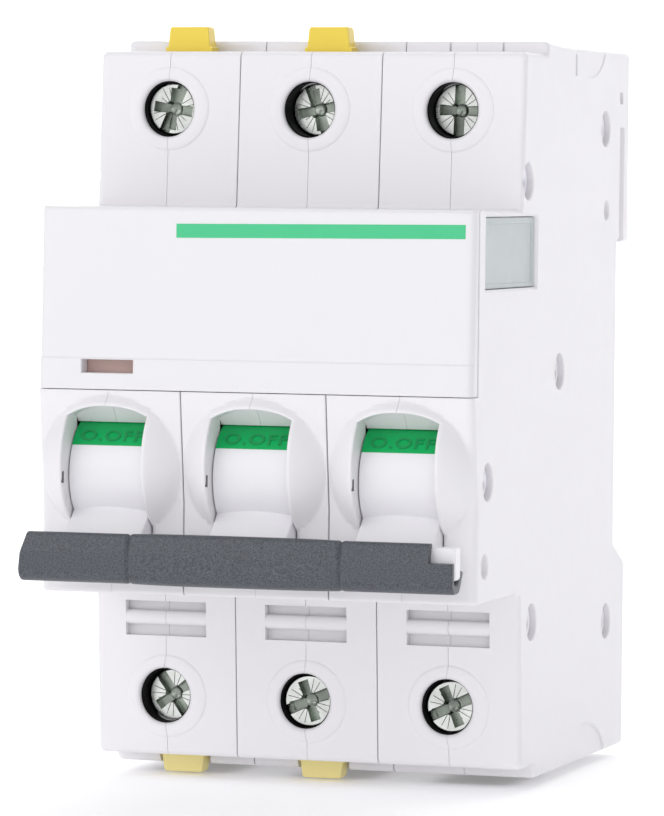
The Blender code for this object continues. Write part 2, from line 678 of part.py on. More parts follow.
def build_bimetal(pole):
    """The thermal strip: a tongue in the lower terminal, a foot and the strip itself."""
    x = pole_x(pole)
    low, high = BIMETAL_FOOT_Z
    inside = 2 * STEP
    strip = box(f"bimetal_{pole}", shifted(BIMETAL_X, x), BIMETAL_Y, (low + inside, BIMETAL_TOP), COPPER)
    join(strip, box(f"add_bimetal_foot_{pole}", (x - STRAP_HALF_WIDTH, x + BIMETAL_X[1] - inside),
                    (BIMETAL_Y[0] + inside, STRAP_Y[1]), (low, high)))
    join(strip, box(f"add_bimetal_tongue_{pole}", spread(STRAP_HALF_WIDTH - inside, x),
                    (STRAP_Y[0], STRAP_Y[1] - inside),
                    (SCREW_Z["lower"] - CAGE_HALF_HEIGHT, low + inside)))


def build_trip_bar():
    y, z = TRIP_AXIS
    bar = cylinder("trip_bar", "X", (0, y, z), TRIP_SHAFT_R, 2 * TRIP_SHAFT_HALF_LENGTH, PIN_SIDES,
                   BLACK_PLASTIC)
    for pole in POLES:
        x = pole_x(pole)
        join(bar, box(f"add_paddle_{pole}", (x - TRIP_PADDLE_REACH, x + BIMETAL_X[1]), TRIP_PADDLE_Y,
                      (TRIP_PADDLE_Z, z)))
    set_origin(bar, 0.0, y, z)


# Terminals

def build_cage(pole, end):
    x = pole_x(pole)
    z = SCREW_Z[end]
    cage = box(f"terminal_cage_{end}_{pole}", spread(CAGE_HALF_WIDTH, x), (CAGE_FRONT_Y, CAGE_BACK_Y),
               spread(CAGE_HALF_HEIGHT, z), STEEL)
    cut(cage, box(f"cut_cage_{end}_{pole}", spread(CAGE_HALF_WIDTH - CAGE_SIDE, x),
                  (CAGE_FRONT_Y + CAGE_WALL, CAGE_BACK_Y - CAGE_REAR_WALL),
                  spread(CAGE_HALF_HEIGHT + SKIN, z)))
    cut(cage, cylinder(f"cut_cage_bore_{end}_{pole}", "Y", (x, CAGE_FRONT_Y, z), CAGE_BORE_R, 6.0,
                       BORE_SIDES))
    set_origin(cage, x, CAGE_FRONT_Y, z)


def build_screw(pole, end):
    x = pole_x(pole)
    z = SCREW_Z[end]
    face = FACE_Y + HEAD_DEPTH[end, pole]
    back = face + HEAD_LENGTH
    profile = [(0.0, SCREW_TIP_Y), (SCREW_R, SCREW_TIP_Y), (SCREW_R, back), (HEAD_R, back),
               (HEAD_R, face + HEAD_CHAMFER), (HEAD_R - HEAD_CHAMFER, face), (0.0, face)]
    screw = turned_about_y(f"terminal_screw_{end}_{pole}", profile, x, z, SCREW_SIDES, STEEL)
    cut(screw,
        box(f"cut_slot_{end}_{pole}", spread(CROSS_REACH, x), (face - SKIN, face + CROSS_DEPTH),
            spread(CROSS_HALF_WIDTH, z)),
        box(f"cut_cross_{end}_{pole}", spread(CROSS_HALF_WIDTH, x), (face - SKIN, face + CROSS_DEPTH + STEP),
            spread(CROSS_REACH, z)))
    set_origin(screw, x, face, z)


# DIN clips

def build_clip(pole, end):
    """A slider: pull tab, cross piece, and a side frame whose leg hooks the rail."""
    x = pole_x(pole)
    tab_y = CLIP_TAB_Y
    side_x = shifted(CLIP_SIDE_X, x)
    cross = CLIP_CROSS_Z[end]
    inner, outer = CLIP_STRIP_Z[end]
    cross_end = cross[1]
    tab_z = (cross[0], CLIP_TAB_END[end])
    if end == "lower":
        inner, outer = outer, inner
        cross_end = cross[0]
        tab_z = (CLIP_TAB_END[end], cross[1])
    post_y = (tab_y[0] + 4 * STEP, tab_y[1] - 4 * STEP)
    leg_y = CLIP_LEG_Y
    frame = [(post_y[0], cross_end), (post_y[1], cross_end), (post_y[1], outer), (leg_y[1], outer),
             (leg_y[1], CLIP_HOOK_Z[end]), (leg_y[0], CLIP_HOOK_Z[end]), (leg_y[0], inner),
             (post_y[0], inner)]
    clip = flat_outline(f"din_clip_{end}_{pole}", frame, side_x, CLIP_YELLOW)
    join(clip, box(f"add_clip_cross_{end}_{pole}", (x, side_x[1] - 3 * STEP),
                   (tab_y[0] + 2 * STEP, tab_y[1] - 2 * STEP), (cross[0] + STEP, cross[1] - STEP)))
    join(clip, box(f"add_clip_tab_{end}_{pole}", spread(TAB_HALF_WIDTH, x), tab_y, tab_z))
    set_origin(clip, x, tab_y[0], CLIP_TAB_END[end])


build_case()
build_front_panel()
for pole in POLES:
    build_toggle(pole)
    build_link(pole)
    build_contact_arm(pole)
    build_fixed_contact(pole)
    build_arc_chute(pole)
    build_coil(pole)
    build_yoke(pole)
    build_plunger(pole)
    build_bimetal(pole)
    for end in SCREW_Z:
        build_cage(pole, end)
        build_screw(pole, end)
        if pole in CLIPPED_POLES:
            build_clip(pole, end)
build_tie_bar()
build_trip_bar()
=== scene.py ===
"""Looks of the three-pole circuit breaker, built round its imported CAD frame.

Lengths are written in millimetres in the frame's axes and MM turns them into metres:
X across the poles, +Z up, the front faces -Y.
"""

from math import atan2, cos, hypot, pi, radians, sin, sqrt, tan

import bmesh
import bpy
from mathutils import Matrix, Vector


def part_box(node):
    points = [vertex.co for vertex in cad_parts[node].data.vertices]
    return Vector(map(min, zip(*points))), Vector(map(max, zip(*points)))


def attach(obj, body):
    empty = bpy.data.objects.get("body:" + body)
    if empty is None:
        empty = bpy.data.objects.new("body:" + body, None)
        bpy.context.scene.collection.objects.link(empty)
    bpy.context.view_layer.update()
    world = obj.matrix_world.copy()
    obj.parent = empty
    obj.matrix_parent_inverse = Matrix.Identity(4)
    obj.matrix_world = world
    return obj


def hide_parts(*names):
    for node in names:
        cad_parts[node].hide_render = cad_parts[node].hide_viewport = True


MM = 0.001
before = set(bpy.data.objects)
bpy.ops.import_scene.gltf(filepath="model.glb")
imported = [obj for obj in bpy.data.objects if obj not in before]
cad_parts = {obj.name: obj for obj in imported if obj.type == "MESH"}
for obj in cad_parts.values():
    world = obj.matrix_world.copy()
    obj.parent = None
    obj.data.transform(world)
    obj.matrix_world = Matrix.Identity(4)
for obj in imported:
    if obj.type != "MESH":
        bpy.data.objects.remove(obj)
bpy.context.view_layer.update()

PITCH = 18.0
POLES = (1, 2, 3)
ENDS = ("upper", "lower")
HALF = 27.0
WALL = 1.2
PARTING = 0.02              # half the line between the two halves of a pole
PARTING_EDGE = 0.025        # rounding of the edges along that line
JOINT = 0.045               # half the line between poles
BORE_STEPS = 28             # sides of the pockets, rivets and axle bores

# Case outline (y, z, corner radius), clockwise seen from +X
OUTLINE = [
    (5.5, 42.0, 0.5), (5.5, 17.8, 0.4), (0.0, 17.8, 0.3), (0.0, -20.6, 0.3), (5.5, -23.2, 1.2),
    (5.5, -47.0, 0.5), (-37.0, -47.0, 0.8), (-37.0, -45.3, 0.3), (-43.6, -45.3, 0.8),
    (-45.0, -23.9, 0.5), (-61.6, -23.9, 0), (-63.0, -23.9, 0), (-63.0, 0.2, 0), (-63.8, 0.2, 0),
    (-63.8, 22.0, 0.15), (-62.4, 22.0, 0), (-61.6, 22.0, 0), (-45.7, 22.0, 0.5), (-44.5, 40.9, 0.9),
    (-34.7, 40.9, 0.3), (-34.7, 42.5, 0.7), (-25.6, 42.0, 0)]
FRONT_ZONE_Y = -62.0        # in front of this the panel and the nose face cover the case

# Nose face: the plane behind the toggles and the domes that guard them
FACE_Z = (-23.88, 0.34)
FACE_BACK_Y = -62.0
AXLE = (-59.4, -9.7)
DOME_CENTRE = (-60.0, -8.3)
DOME_R = 9.95
SLOT_X = 4.95
SLOT_LOW = -19.6
ARCH_MIDDLE = -1.55
ARCH_SIDE = -2.75
RIM = 0.6
RIM_STEPS = (0.0, 0.015, 0.05, 0.11, 0.19, 0.29, 0.41, 0.52, 0.62)

# Front panel
PANEL_HALF = 26.86
PANEL_Z = (0.42, 22.05)
PANEL_BACK_Y = -63.9
RIDGE_Z = 4.1
WINDOW_X = (-21.4, -14.9)
WINDOW_Z = (2.35, 3.95)
BAND_X = (-9.8, 25.65)
BAND_Z = (18.6, 20.25)
BAND_LEAN = radians(0.45)

# Terminals
SCREW_Z = {"upper": 33.9, "lower": -38.0}
SCREW_HEAD_R = 3.12
ARM_REACH = (2.45, 2.55, 2.5, 2.55)
SCORE_MARKS = 16
SCORE_SPREAD = (-27, -9, 9, 27)
SCORE_LENGTH = (2.0, 2.65, 2.75, 2.1)
HOLE_R = 3.4
# Front and back ends of the black sleeves that paint shade inside the screw holes
SHADE_SLEEVE_FACE_Y = {"upper": -44.94, "lower": -44.08}
SHADE_SLEEVE_END_Y = -39.4         # clear of a raised cage
SLOPE = {"upper": radians(3.63), "lower": radians(-3.74)}
# Angles of each head's slot and of its cross arms
SLOT_TURN = {("upper", 1): (66, -8), ("upper", 2): (111, 12), ("upper", 3): (88, -2),
             ("lower", 1): (124, 36), ("lower", 2): (24, 20), ("lower", 3): (26, 24)}
LABEL_Z = (-30.6, -26.3)
LABEL_BAR = (-29.25, -27.5)
LABEL_HALF = 5.2
LABEL_BACK_Y = -43.3
ENTRY_Y = (-34.2, -20.6)
ENTRY_WALL_Z = {"upper": (40.0, 43.2), "lower": (-47.7, -45.0)}

# Rail clips
TAB_Y = (-37.9, -35.3)
TAB_Z = {"upper": (37.5, 41.55, 44.08), "lower": (41.7, 45.9, 48.0)}   # base, ears, tip
EAR_HALF = 3.05
TAB_SLOT_Y = (-38.2, -35.0)
TAB_SLOT_Z = {"upper": (39.0, 41.6), "lower": (-45.9, -43.5)}
CLIP_CROSS_Z = {"upper": (37.5, 38.7), "lower": (-42.6, -41.6)}
CLIP_STRIP_Z = {"upper": (34.5, 36.0), "lower": (-37.6, -39.2)}
CLIP_LEG_X = (5.6, 7.2)
CLIP_LEG_Y = (1.5, 3.7)
CLIP_HOOK_Z = 16.3
TAB_EDGE_R = 0.22

# Side features (y, z, radius)
RIVETS = {"rivet_upper_front": (-43.0, 25.5), "rivet_upper_rear": (-6.6, 32.2),
          "rivet_middle": (-27.75, 2.24), "rivet_toggle_axle": (-59.4, -9.7),
          "rivet_lower_front": (-39.5, -27.7), "rivet_lower_rear": (-3.75, -30.4)}
POCKET_R = 2.27
BLIND_POCKETS = ((-5.8, 21.9, 1.27), (-60.4, -19.55, 1.5))
PORT_Y = (-61.3, -38.7)
PORT_Z = (12.75, 21.3)

# Tie bar
BAR_HALF = 26.65
BAR_END_R = 0.32
BAR_NOTCH_X = 23.75
BAR_GROOVE_X = 13.0
BAR_SLANT = 1.5             # length over which the left end leans in

# Toggles
BARREL_R = 6.65
BARREL_HALF = 4.84
STRIP_ANGLES = (radians(31.2), radians(72.0))
MARKING_ANGLE = radians(42.0)
AXLE_BORE_R = 2.3
CRANK_REACH = 4.2
CRANK_ANGLE = radians(35)

# Stage and camera, the floor in metres
FLOOR_Z = -0.0484
FLOOR_HALF = 3.0
FLOOR_FRONT = -2.6
FLOOR_BEND = (1.2, 0.8)      # where the floor starts to curve up, and the radius
BEND_STEPS = 12
CAMERA_AZIMUTH = radians(17.60)
CAMERA_ELEVATION = radians(2.58)
CAMERA_ROLL = radians(0.55)
CAMERA_TARGET = (0.02, -35.0, -2.61)
CAMERA_DISTANCE = 632.6


# Geometry helpers: every shape is made in a bmesh in millimetres

def pole_x(pole):
    return (pole - 2) * PITCH


def fillet(points, steps=4):
    """Round each (y, z, radius) corner of a closed outline."""
    result = []
    count = len(points)
    for i, (y, z, radius) in enumerate(points):
        here = Vector((y, z))
        if radius <= 0:
            result.append((y, z))
            continue
        before = (Vector(points[i - 1][:2]) - here)
        after = (Vector(points[(i + 1) % count][:2]) - here)
        half = before.angle(after) / 2
        reach = min(radius / tan(half), 0.45 * before.length, 0.45 * after.length)
        radius = reach * tan(half)
        centre = here + (before.normalized() + after.normalized()).normalized() * (radius / sin(half))
        start = here + before.normalized() * reach - centre
        end = here + after.normalized() * reach - centre
        first = atan2(start.y, start.x)
        turn = atan2(start.x * end.y - start.y * end.x, start.dot(end))
        for k in range(steps + 1):
            angle = first + turn * k / steps
            result.append((centre.x + radius * cos(angle), centre.y + radius * sin(angle)))
    return result


def rounded_box(y, z, radius, steps=3):
    """A rounded rectangle, clockwise seen from +X."""
    corners = ((y[1], z[1]), (y[1], z[0]), (y[0], z[0]), (y[0], z[1]))
    return fillet([(*corner, radius) for corner in corners], steps)


def ellipse(centre, radii, steps, half_turns=-2):
    """Points round an ellipse, or round half of one. Negative turns go clockwise seen from +X."""
    count = steps if abs(half_turns) == 2 else steps + 1
    angles = [half_turns * pi * k / steps for k in range(count)]
    return [(centre[0] + radii[0] * cos(a), centre[1] + radii[1] * sin(a)) for a in angles]


def clockwise(points):
    """Order an outline clockwise seen from +X."""
    area = sum(a[0] * b[1] - b[0] * a[1] for a, b in zip(points, points[1:] + points[:1]))
    return points[::-1] if area > 0 else points


def mitres(points):
    """The inward mitre of each corner of a clockwise outline."""
    result = []
    count = len(points)
    for i in range(count):
        before, here, after = (Vector(points[(i + k) % count]) for k in (-1, 0, 1))
        first = (here - before).normalized()
        second = (after - here).normalized()
        inward = Vector((first.y, -first.x))
        mean = (inward + Vector((second.y, -second.x))).normalized()
        result.append(mean / max(0.3, mean.dot(inward)))
    return result


def inset(points, distance):
    """Move a clockwise outline inward. Corners given as (y, z, radius) come out rounded."""
    reach = distance if callable(distance) else lambda y, z: distance
    plain = [p[:2] for p in points]
    moved = [(y + m.x * reach(y, z), z + m.y * reach(y, z)) for (y, z), m in zip(plain, mitres(plain))]
    if len(points[0]) == 2:
        return moved
    rounded = []
    for i, (y, z, radius) in enumerate(points):
        before = Vector(plain[i]) - Vector(plain[i - 1])
        after = Vector(plain[(i + 1) % len(plain)]) - Vector(plain[i])
        outward = before.x * after.y - before.y * after.x < 0
        if radius > 0:
            radius = max(0.02, radius - reach(y, z)) if outward else radius + reach(y, z)
        rounded.append((*moved[i], radius))
    return fillet(rounded)


def add_loft(bm, loops):
    """Join equal loops of points one after another and close both ends."""
    rings = [[bm.verts.new(point) for point in loop] for loop in loops]
    for a, b in zip(rings, rings[1:]):
        for i in range(len(a)):
            j = (i + 1) % len(a)
            bm.faces.new((a[i], a[j], b[j], b[i]))
    bm.faces.new(rings[0])
    bm.faces.new(rings[-1])


def add_prism(bm, points, x, low=0.0, high=0.0, steps=3):
    """Extrude an outline along X, with its end edges rounded.

    low and high are the rounding radius at each end, or a function of (y, z).
    """
    def loop(end, inward, radius, angle):
        size = radius if callable(radius) else lambda y, z: radius
        outline = inset(points, lambda y, z: size(y, z) * (1 - sin(angle)))
        return [(end + inward * size(y, z) * (1 - cos(angle)), y, z) for y, z in outline]

    loops = []
    for end, inward, radius in ((x[0], 1, low), (x[1], -1, high)):
        plain = not callable(radius) and radius == 0
        angles = [pi / 2] if plain else [pi / 2 * k / steps for k in range(steps + 1)]
        made = [loop(end, inward, radius, angle) for angle in angles]
        loops += made if inward > 0 else made[::-1]
    add_loft(bm, loops)


def add_box(bm, x, y, z):
    add_prism(bm, [(y[1], z[1]), (y[1], z[0]), (y[0], z[0]), (y[0], z[1])], x)


def add_turned(bm, profile, centre, axis="Y", steps=48, arc=(0.0, 2 * pi)):
    """Turn a closed (radius, place along axis) profile about a line along Y or X."""
    full = abs(arc[1] - arc[0] - 2 * pi) < 1e-6
    rings = []
    for k in range(steps if full else steps + 1):
        angle = arc[0] + (arc[1] - arc[0]) * k / steps
        ring = []
        for radius, place in profile:
            a, b = radius * cos(angle), radius * sin(angle)
            if axis == "Y":
                ring.append(bm.verts.new((centre[0] + a, place, centre[1] + b)))
            else:
                ring.append(bm.verts.new((place, centre[0] + a, centre[1] + b)))
        rings.append(ring)
    pairs = list(zip(rings, rings[1:])) + ([(rings[-1], rings[0])] if full else [])
    new = [v for ring in rings for v in ring]
    for a, b in pairs:
        for i in range(len(profile)):
            j = (i + 1) % len(profile)
            if profile[i][0] < 1e-9 and profile[j][0] < 1e-9:
                continue
            bm.faces.new((a[i], a[j], b[j], b[i]))
    if not full:
        bm.faces.new(rings[0])
        bm.faces.new(rings[-1])
    bmesh.ops.remove_doubles(bm, verts=new, dist=1e-5)


def add_tube(bm, axis, centre, radius, low, high, steps=32):
    """A plain disc-ended cylinder about a line along X or Y."""
    add_turned(bm, [(0, low), (radius, low), (radius, high), (0, high)], centre, axis, steps)


def add_relief(bm, xs, rows, surface, back, keep):
    """A slab with a modelled front: a grid in X and Z, raised to surface(x, z).

    rows gives the Z values for one X. keep says whether the cell at a middle point is there.
    """
    grid = [[bm.verts.new((x, back, z)) for z in rows(x)] for x in xs]
    faces = []
    for a, b in zip(grid, grid[1:]):
        for k in range(len(a) - 1):
            corners = (a[k], b[k], b[k + 1], a[k + 1])
            middle = sum((v.co for v in corners), Vector()) / 4
            if keep(middle.x, middle.z):
                faces.append(bm.faces.new(corners))
    for column in grid:
        for v in column:
            if not v.link_faces:
                bm.verts.remove(v)
    made = bmesh.ops.extrude_face_region(bm, geom=faces, use_keep_orig=True)
    for element in made["geom"]:
        if isinstance(element, bmesh.types.BMVert):
            element.co.y = surface(element.co.x, element.co.z)


def as_object(name, bm, material=None):
    bmesh.ops.recalc_face_normals(bm, faces=bm.faces)
    bmesh.ops.scale(bm, vec=(MM, MM, MM), verts=bm.verts)
    mesh = bpy.data.meshes.new(name)
    bm.to_mesh(mesh)
    bm.free()
    obj = bpy.data.objects.new(name, mesh)
    bpy.context.scene.collection.objects.link(obj)
    if material:
        mesh.materials.append(material)
    return obj


def cut(obj, cutters, overlapping=False):
    """Cut the cutters from a piece and remove them.

    overlapping is for a cutter made of shapes that run through each other.
    """
    for cutter in cutters:
        modifier = obj.modifiers.new(cutter.name, "BOOLEAN")
        modifier.operation = "DIFFERENCE"
        modifier.solver = "EXACT"
        modifier.use_self = overlapping
        modifier.material_mode = "TRANSFER" if cutter.data.materials else "INDEX"
        modifier.object = cutter
    graph = bpy.context.evaluated_depsgraph_get()
    mesh = bpy.data.meshes.new_from_object(obj.evaluated_get(graph))
    obj.modifiers.clear()
    old, obj.data = obj.data, mesh
    name = old.name
    bpy.data.meshes.remove(old)
    mesh.name = name
    for cutter in cutters:
        data = cutter.data
        bpy.data.objects.remove(cutter, do_unlink=True)
        bpy.data.meshes.remove(data)


def merge(obj, others):
    """Put other finished meshes into one piece, keeping their materials."""
    bm = bmesh.new()
    materials = []
    for source in [obj] + others:
        start = len(bm.faces)
        bm.from_mesh(source.data)
        bm.faces.ensure_lookup_table()
        for face in bm.faces[start:]:
            slot = source.data.materials[face.material_index]
            if slot not in materials:
                materials.append(slot)
            face.material_index = materials.index(slot)
    mesh = bpy.data.meshes.new(obj.name)
    bm.to_mesh(mesh)
    bm.free()
    for material in materials:
        mesh.materials.append(material)
    obj.data = mesh
    for source in others:
        bpy.data.objects.remove(source, do_unlink=True)


def finish_piece(obj, body, nodes=(), angle=33.0):
    """Shade a piece, put it on its body and let it stand for its CAD nodes."""
    obj.data.shade_smooth()
    obj.data.set_sharp_from_angle(angle=radians(angle))
    weighted = obj.modifiers.new("normals", "WEIGHTED_NORMAL")
    weighted.keep_sharp = True
    weighted.weight = 80
    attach(obj, body)
    if nodes:
        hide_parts(*nodes)


# Materials

def shader_nodes(name):
    material = bpy.data.materials.new(name)
    material.use_nodes = True
    tree = material.node_tree
    return material, tree, tree.nodes["Principled BSDF"]


def noise(tree, coordinates, scale, detail=3.0, stretch=None):
    if stretch:
        mapping = tree.nodes.new("ShaderNodeMapping")
        mapping.inputs["Scale"].default_value = stretch
        tree.links.new(coordinates, mapping.inputs["Vector"])
        coordinates = mapping.outputs["Vector"]
    node = tree.nodes.new("ShaderNodeTexNoise")
    node.inputs["Scale"].default_value = scale
    node.inputs["Detail"].default_value = detail
    tree.links.new(coordinates, node.inputs["Vector"])
    return node.outputs["Fac"]


def ranged(tree, value, low, high, start=0.3, stop=0.7):
    node = tree.nodes.new("ShaderNodeMapRange")
    node.inputs["From Min"].default_value = start
    node.inputs["From Max"].default_value = stop
    node.inputs["To Min"].default_value = low
    node.inputs["To Max"].default_value = high
    tree.links.new(value, node.inputs["Value"])
    return node.outputs["Result"]


def mixed(tree, value, first, second):
    node = tree.nodes.new("ShaderNodeMix")
    node.data_type = "RGBA"
    node.inputs["A"].default_value = (*first, 1.0)
    node.inputs["B"].default_value = (*second, 1.0)
    tree.links.new(value, node.inputs["Factor"])
    return node.outputs["Result"]


def bumped(tree, shader, height, strength, distance):
    node = tree.nodes.new("ShaderNodeBump")
    node.inputs["Strength"].default_value = strength
    node.inputs["Distance"].default_value = distance * MM
    tree.links.new(height, node.inputs["Height"])
    tree.links.new(node.outputs["Normal"], shader.inputs["Normal"])


def plastic(name, colour, roughness, grain=2500.0, depth=0.01, shift=0.03, specular=0.4):
    """Moulded plastic: slow colour drift, uneven gloss and a fine spark-eroded grain."""
    material, tree, shader = shader_nodes(name)
    place = tree.nodes.new("ShaderNodeTexCoord").outputs["Object"]
    drift = noise(tree, place, 60.0, 4.0)
    darker = tuple(c * (1 - shift) for c in colour)
    lighter = tuple(min(1.0, c * (1 + shift)) for c in colour)
    tree.links.new(mixed(tree, drift, darker, lighter), shader.inputs["Base Color"])
    gloss = noise(tree, place, 420.0, 3.0)
    tree.links.new(ranged(tree, gloss, roughness * 0.88, roughness * 1.12), shader.inputs["Roughness"])
    bumped(tree, shader, noise(tree, place, grain, 4.0), 0.5, depth)
    shader.inputs["Specular IOR Level"].default_value = specular
    return material


def speckled(name, colour, roughness):
    """Filled plastic with a coarse pebbled skin and pale flecks."""
    material, tree, shader = shader_nodes(name)
    place = tree.nodes.new("ShaderNodeTexCoord").outputs["Object"]
    fleck = noise(tree, place, 5200.0, 3.0)
    darker = tuple(c * 0.62 for c in colour)
    lighter = tuple(c * 1.5 for c in colour)
    tree.links.new(mixed(tree, ranged(tree, fleck, 0.0, 1.0, 0.35, 0.65), darker, lighter),
                   shader.inputs["Base Color"])
    tree.links.new(ranged(tree, fleck, roughness * 0.8, roughness * 1.2), shader.inputs["Roughness"])
    bumped(tree, shader, noise(tree, place, 4200.0, 3.0), 1.0, 0.06)
    shader.inputs["Specular IOR Level"].default_value = 0.5
    return material


def metal(name, colour, roughness, stretch=(1.0, 1.0, 1.0), patchiness=0.15, scale=900.0, depth=0.008):
    """Plated or bare metal with drawn streaks, cloudy patches and uneven gloss."""
    material, tree, shader = shader_nodes(name)
    place = tree.nodes.new("ShaderNodeTexCoord").outputs["Object"]
    cloud = noise(tree, place, 260.0, 5.0)
    dull = tuple(c * (1 - patchiness) for c in colour)
    tree.links.new(mixed(tree, ranged(tree, cloud, 0.0, 1.0), colour, dull), shader.inputs["Base Color"])
    streak = noise(tree, place, scale, 3.0, stretch)
    tree.links.new(ranged(tree, streak, roughness * 0.75, roughness * 1.35), shader.inputs["Roughness"])
    bumped(tree, shader, streak, 0.6, depth)
    shader.inputs["Metallic"].default_value = 1.0
    return material


CASE = plastic("case_polyamide", (0.82, 0.805, 0.83), 0.45, grain=4000.0, depth=0.004, shift=0.006)
PANEL = plastic("panel_gloss", (0.80, 0.79, 0.81), 0.33, grain=5000.0, depth=0.002, shift=0.004, specular=0.4)
TOGGLE = plastic("toggle_satin", (0.83, 0.82, 0.85), 0.32, grain=5000.0, depth=0.002, shift=0.006,
                 specular=0.45)
GREEN = plastic("toggle_green", (0.002, 0.40, 0.105), 0.42, depth=0.004, shift=0.06, specular=0.22)
LETTER = plastic("toggle_marking", (0.004, 0.27, 0.075), 0.40, depth=0.004, shift=0.08)
PRINT = plastic("printed_green", (0.07, 0.56, 0.26), 0.35, grain=3000.0, depth=0.002, shift=0.03)
BAR = speckled("bar_slate", (0.066, 0.074, 0.087), 0.42)
YELLOW = plastic("clip_yellow", (0.88, 0.67, 0.075), 0.34, depth=0.006, shift=0.04, specular=0.5)
PALE_YELLOW = plastic("clip_pale_yellow", (0.93, 0.80, 0.33), 0.34, depth=0.006, shift=0.04, specular=0.5)
PORT = plastic("port_grey", (0.50, 0.545, 0.545), 0.45, grain=4000.0, depth=0.004, shift=0.03)
# Black for the trip bar, and painted shade for the sleeves inside the screw holes
BLACK_AND_PAINTED_SHADE = plastic("black_and_painted_hole_shade", (0.004, 0.004, 0.0045), 0.7, depth=0.01, shift=0.15, specular=0.12)
POCKET = plastic("pocket_shade", (0.30, 0.295, 0.31), 0.6, depth=0.004, shift=0.1)
FLAG = plastic("flag_dull_red", (0.62, 0.44, 0.40), 0.5, depth=0.01, shift=0.08)
RIVET = metal("rivet_zinc", (0.86, 0.85, 0.89), 0.55, patchiness=0.12)
ZINC = metal("screw_zinc", (0.80, 0.82, 0.79), 0.27, patchiness=0.25, scale=700.0, depth=0.012)
# The recess zinc is a darker copy of the head's zinc: painted shade in the slot, cross and cone, with strong
# darker patches that are painted shade as well.
SCREW_RECESS_PAINTED_SHADE = metal("screw_recess_painted_shade", (0.34, 0.38, 0.33), 0.26, patchiness=0.6, scale=500.0, depth=0.01)
STEEL = metal("plated_steel", (0.58, 0.59, 0.58), 0.34, stretch=(0.15, 1.0, 1.0))
COPPER = metal("bare_copper", (0.80, 0.40, 0.23), 0.30, stretch=(1.0, 0.15, 1.0), patchiness=0.3)
WINDING = metal("enamelled_wire", (0.62, 0.24, 0.10), 0.26, patchiness=0.2, scale=1500.0)


# Case halves

def end_rounding(outermost, y, z):
    """Radius of the edge between a side face and the rim of the case."""
    if y < FRONT_ZONE_Y:
        return 0.1 if outermost else 0.06
    return 0.7 if outermost else 0.13


def panel_face(z):
    return -65.2 - 0.7 * (22.0 - z) / 21.5


def nose_face(z):
    """The plane behind the toggles, with its soft bend."""
    if z > -13.0:
        return -65.88 + 1.68 * (0.2 - z) / 13.2
    return -64.2 + 0.1 * (-13.0 - z) / 10.9


def arch(u):
    return ARCH_MIDDLE + (ARCH_SIDE - ARCH_MIDDLE) * (min(u, SLOT_X) / SLOT_X) ** 2.4


def rounding(distance, radius):
    """How far a rounded edge drops at a distance from the edge."""
    if distance >= radius:
        return 0.0
    return radius - sqrt(max(0.0, radius ** 2 - (radius - max(0.0, distance)) ** 2))


def build_face(pole, side, inner, outer, outermost):
    """The modelled front of one half of the nose."""
    x0 = pole_x(pole)
    edge_r = 1.0 if outermost else 0.16
    rim_end = SLOT_X + RIM_STEPS[-1]
    xs = {inner, outer}
    xs.update(inner + (SLOT_X - inner) * k / 14 for k in range(1, 14))
    xs.update(SLOT_X + step for step in RIM_STEPS)
    xs.update(rim_end + (outer - edge_r - rim_end) * k / 14 for k in range(1, 15))
    xs.update(outer - edge_r * step for step in (0.7, 0.45, 0.27, 0.13, 0.05, 0.015))
    xs = sorted(xs)

    def rows(x):
        top = arch(x)
        low = [FACE_Z[0] + s for s in (0, 0.02, 0.08, 0.18, 0.32, 0.5, 0.75, 1.2, 2.0, 3.0)]
        low += [SLOT_LOW - 0.6, SLOT_LOW - 0.25, SLOT_LOW - 0.08]
        middle = [SLOT_LOW + (top - SLOT_LOW) * k / 48 for k in range(48)]
        rim_top = top + RIM_STEPS[-1]
        high = [top + s for s in RIM_STEPS] + [rim_top + (FACE_Z[1] - rim_top) * k / 5 for k in range(1, 5)]
        high += [FACE_Z[1] - 0.1, FACE_Z[1] - 0.03, FACE_Z[1]]
        return low + middle + high

    def surface(x, z):
        y = nose_face(z)
        ball = DOME_R ** 2 - x ** 2 - (z - DOME_CENTRE[1]) ** 2
        if ball > 0:
            dome = DOME_CENTRE[0] - sqrt(ball)
            blend = 0.12            # soft join between plane and dome
            gap = max(0.0, blend - abs(y - dome)) / blend
            y = min(y, dome) - gap * gap * blend * 0.25
        across = max(0.0, x - SLOT_X)
        above = max(0.0, z - arch(x))
        below = max(0.0, SLOT_LOW - z)
        y += rounding(hypot(across, max(above, below)), RIM if z > SLOT_LOW else 0.3)
        y += rounding(outer - x, edge_r) + rounding(z - FACE_Z[0], 0.5) + rounding(FACE_Z[1] - z, 0.12)
        return min(y, FACE_BACK_Y - 0.2)

    def keep(x, z):
        return x > SLOT_X or z < SLOT_LOW or z > arch(x)

    bm = bmesh.new()
    add_relief(bm, xs, rows, surface, FACE_BACK_Y, keep)
    for v in bm.verts:
        v.co.x = x0 + side * v.co.x
    piece = as_object(f"face_{pole}_{side}", bm, CASE)
    if side < 0:
        notch = bmesh.new()
        add_prism(notch, rounded_box((-68.0, -67.3), (-10.7, -9.3), 0.15),
                  (x0 - SLOT_X - 0.45, x0 - SLOT_X + 1.0))
        cut(piece, [as_object("cut_notch", notch, POCKET)])
    return piece


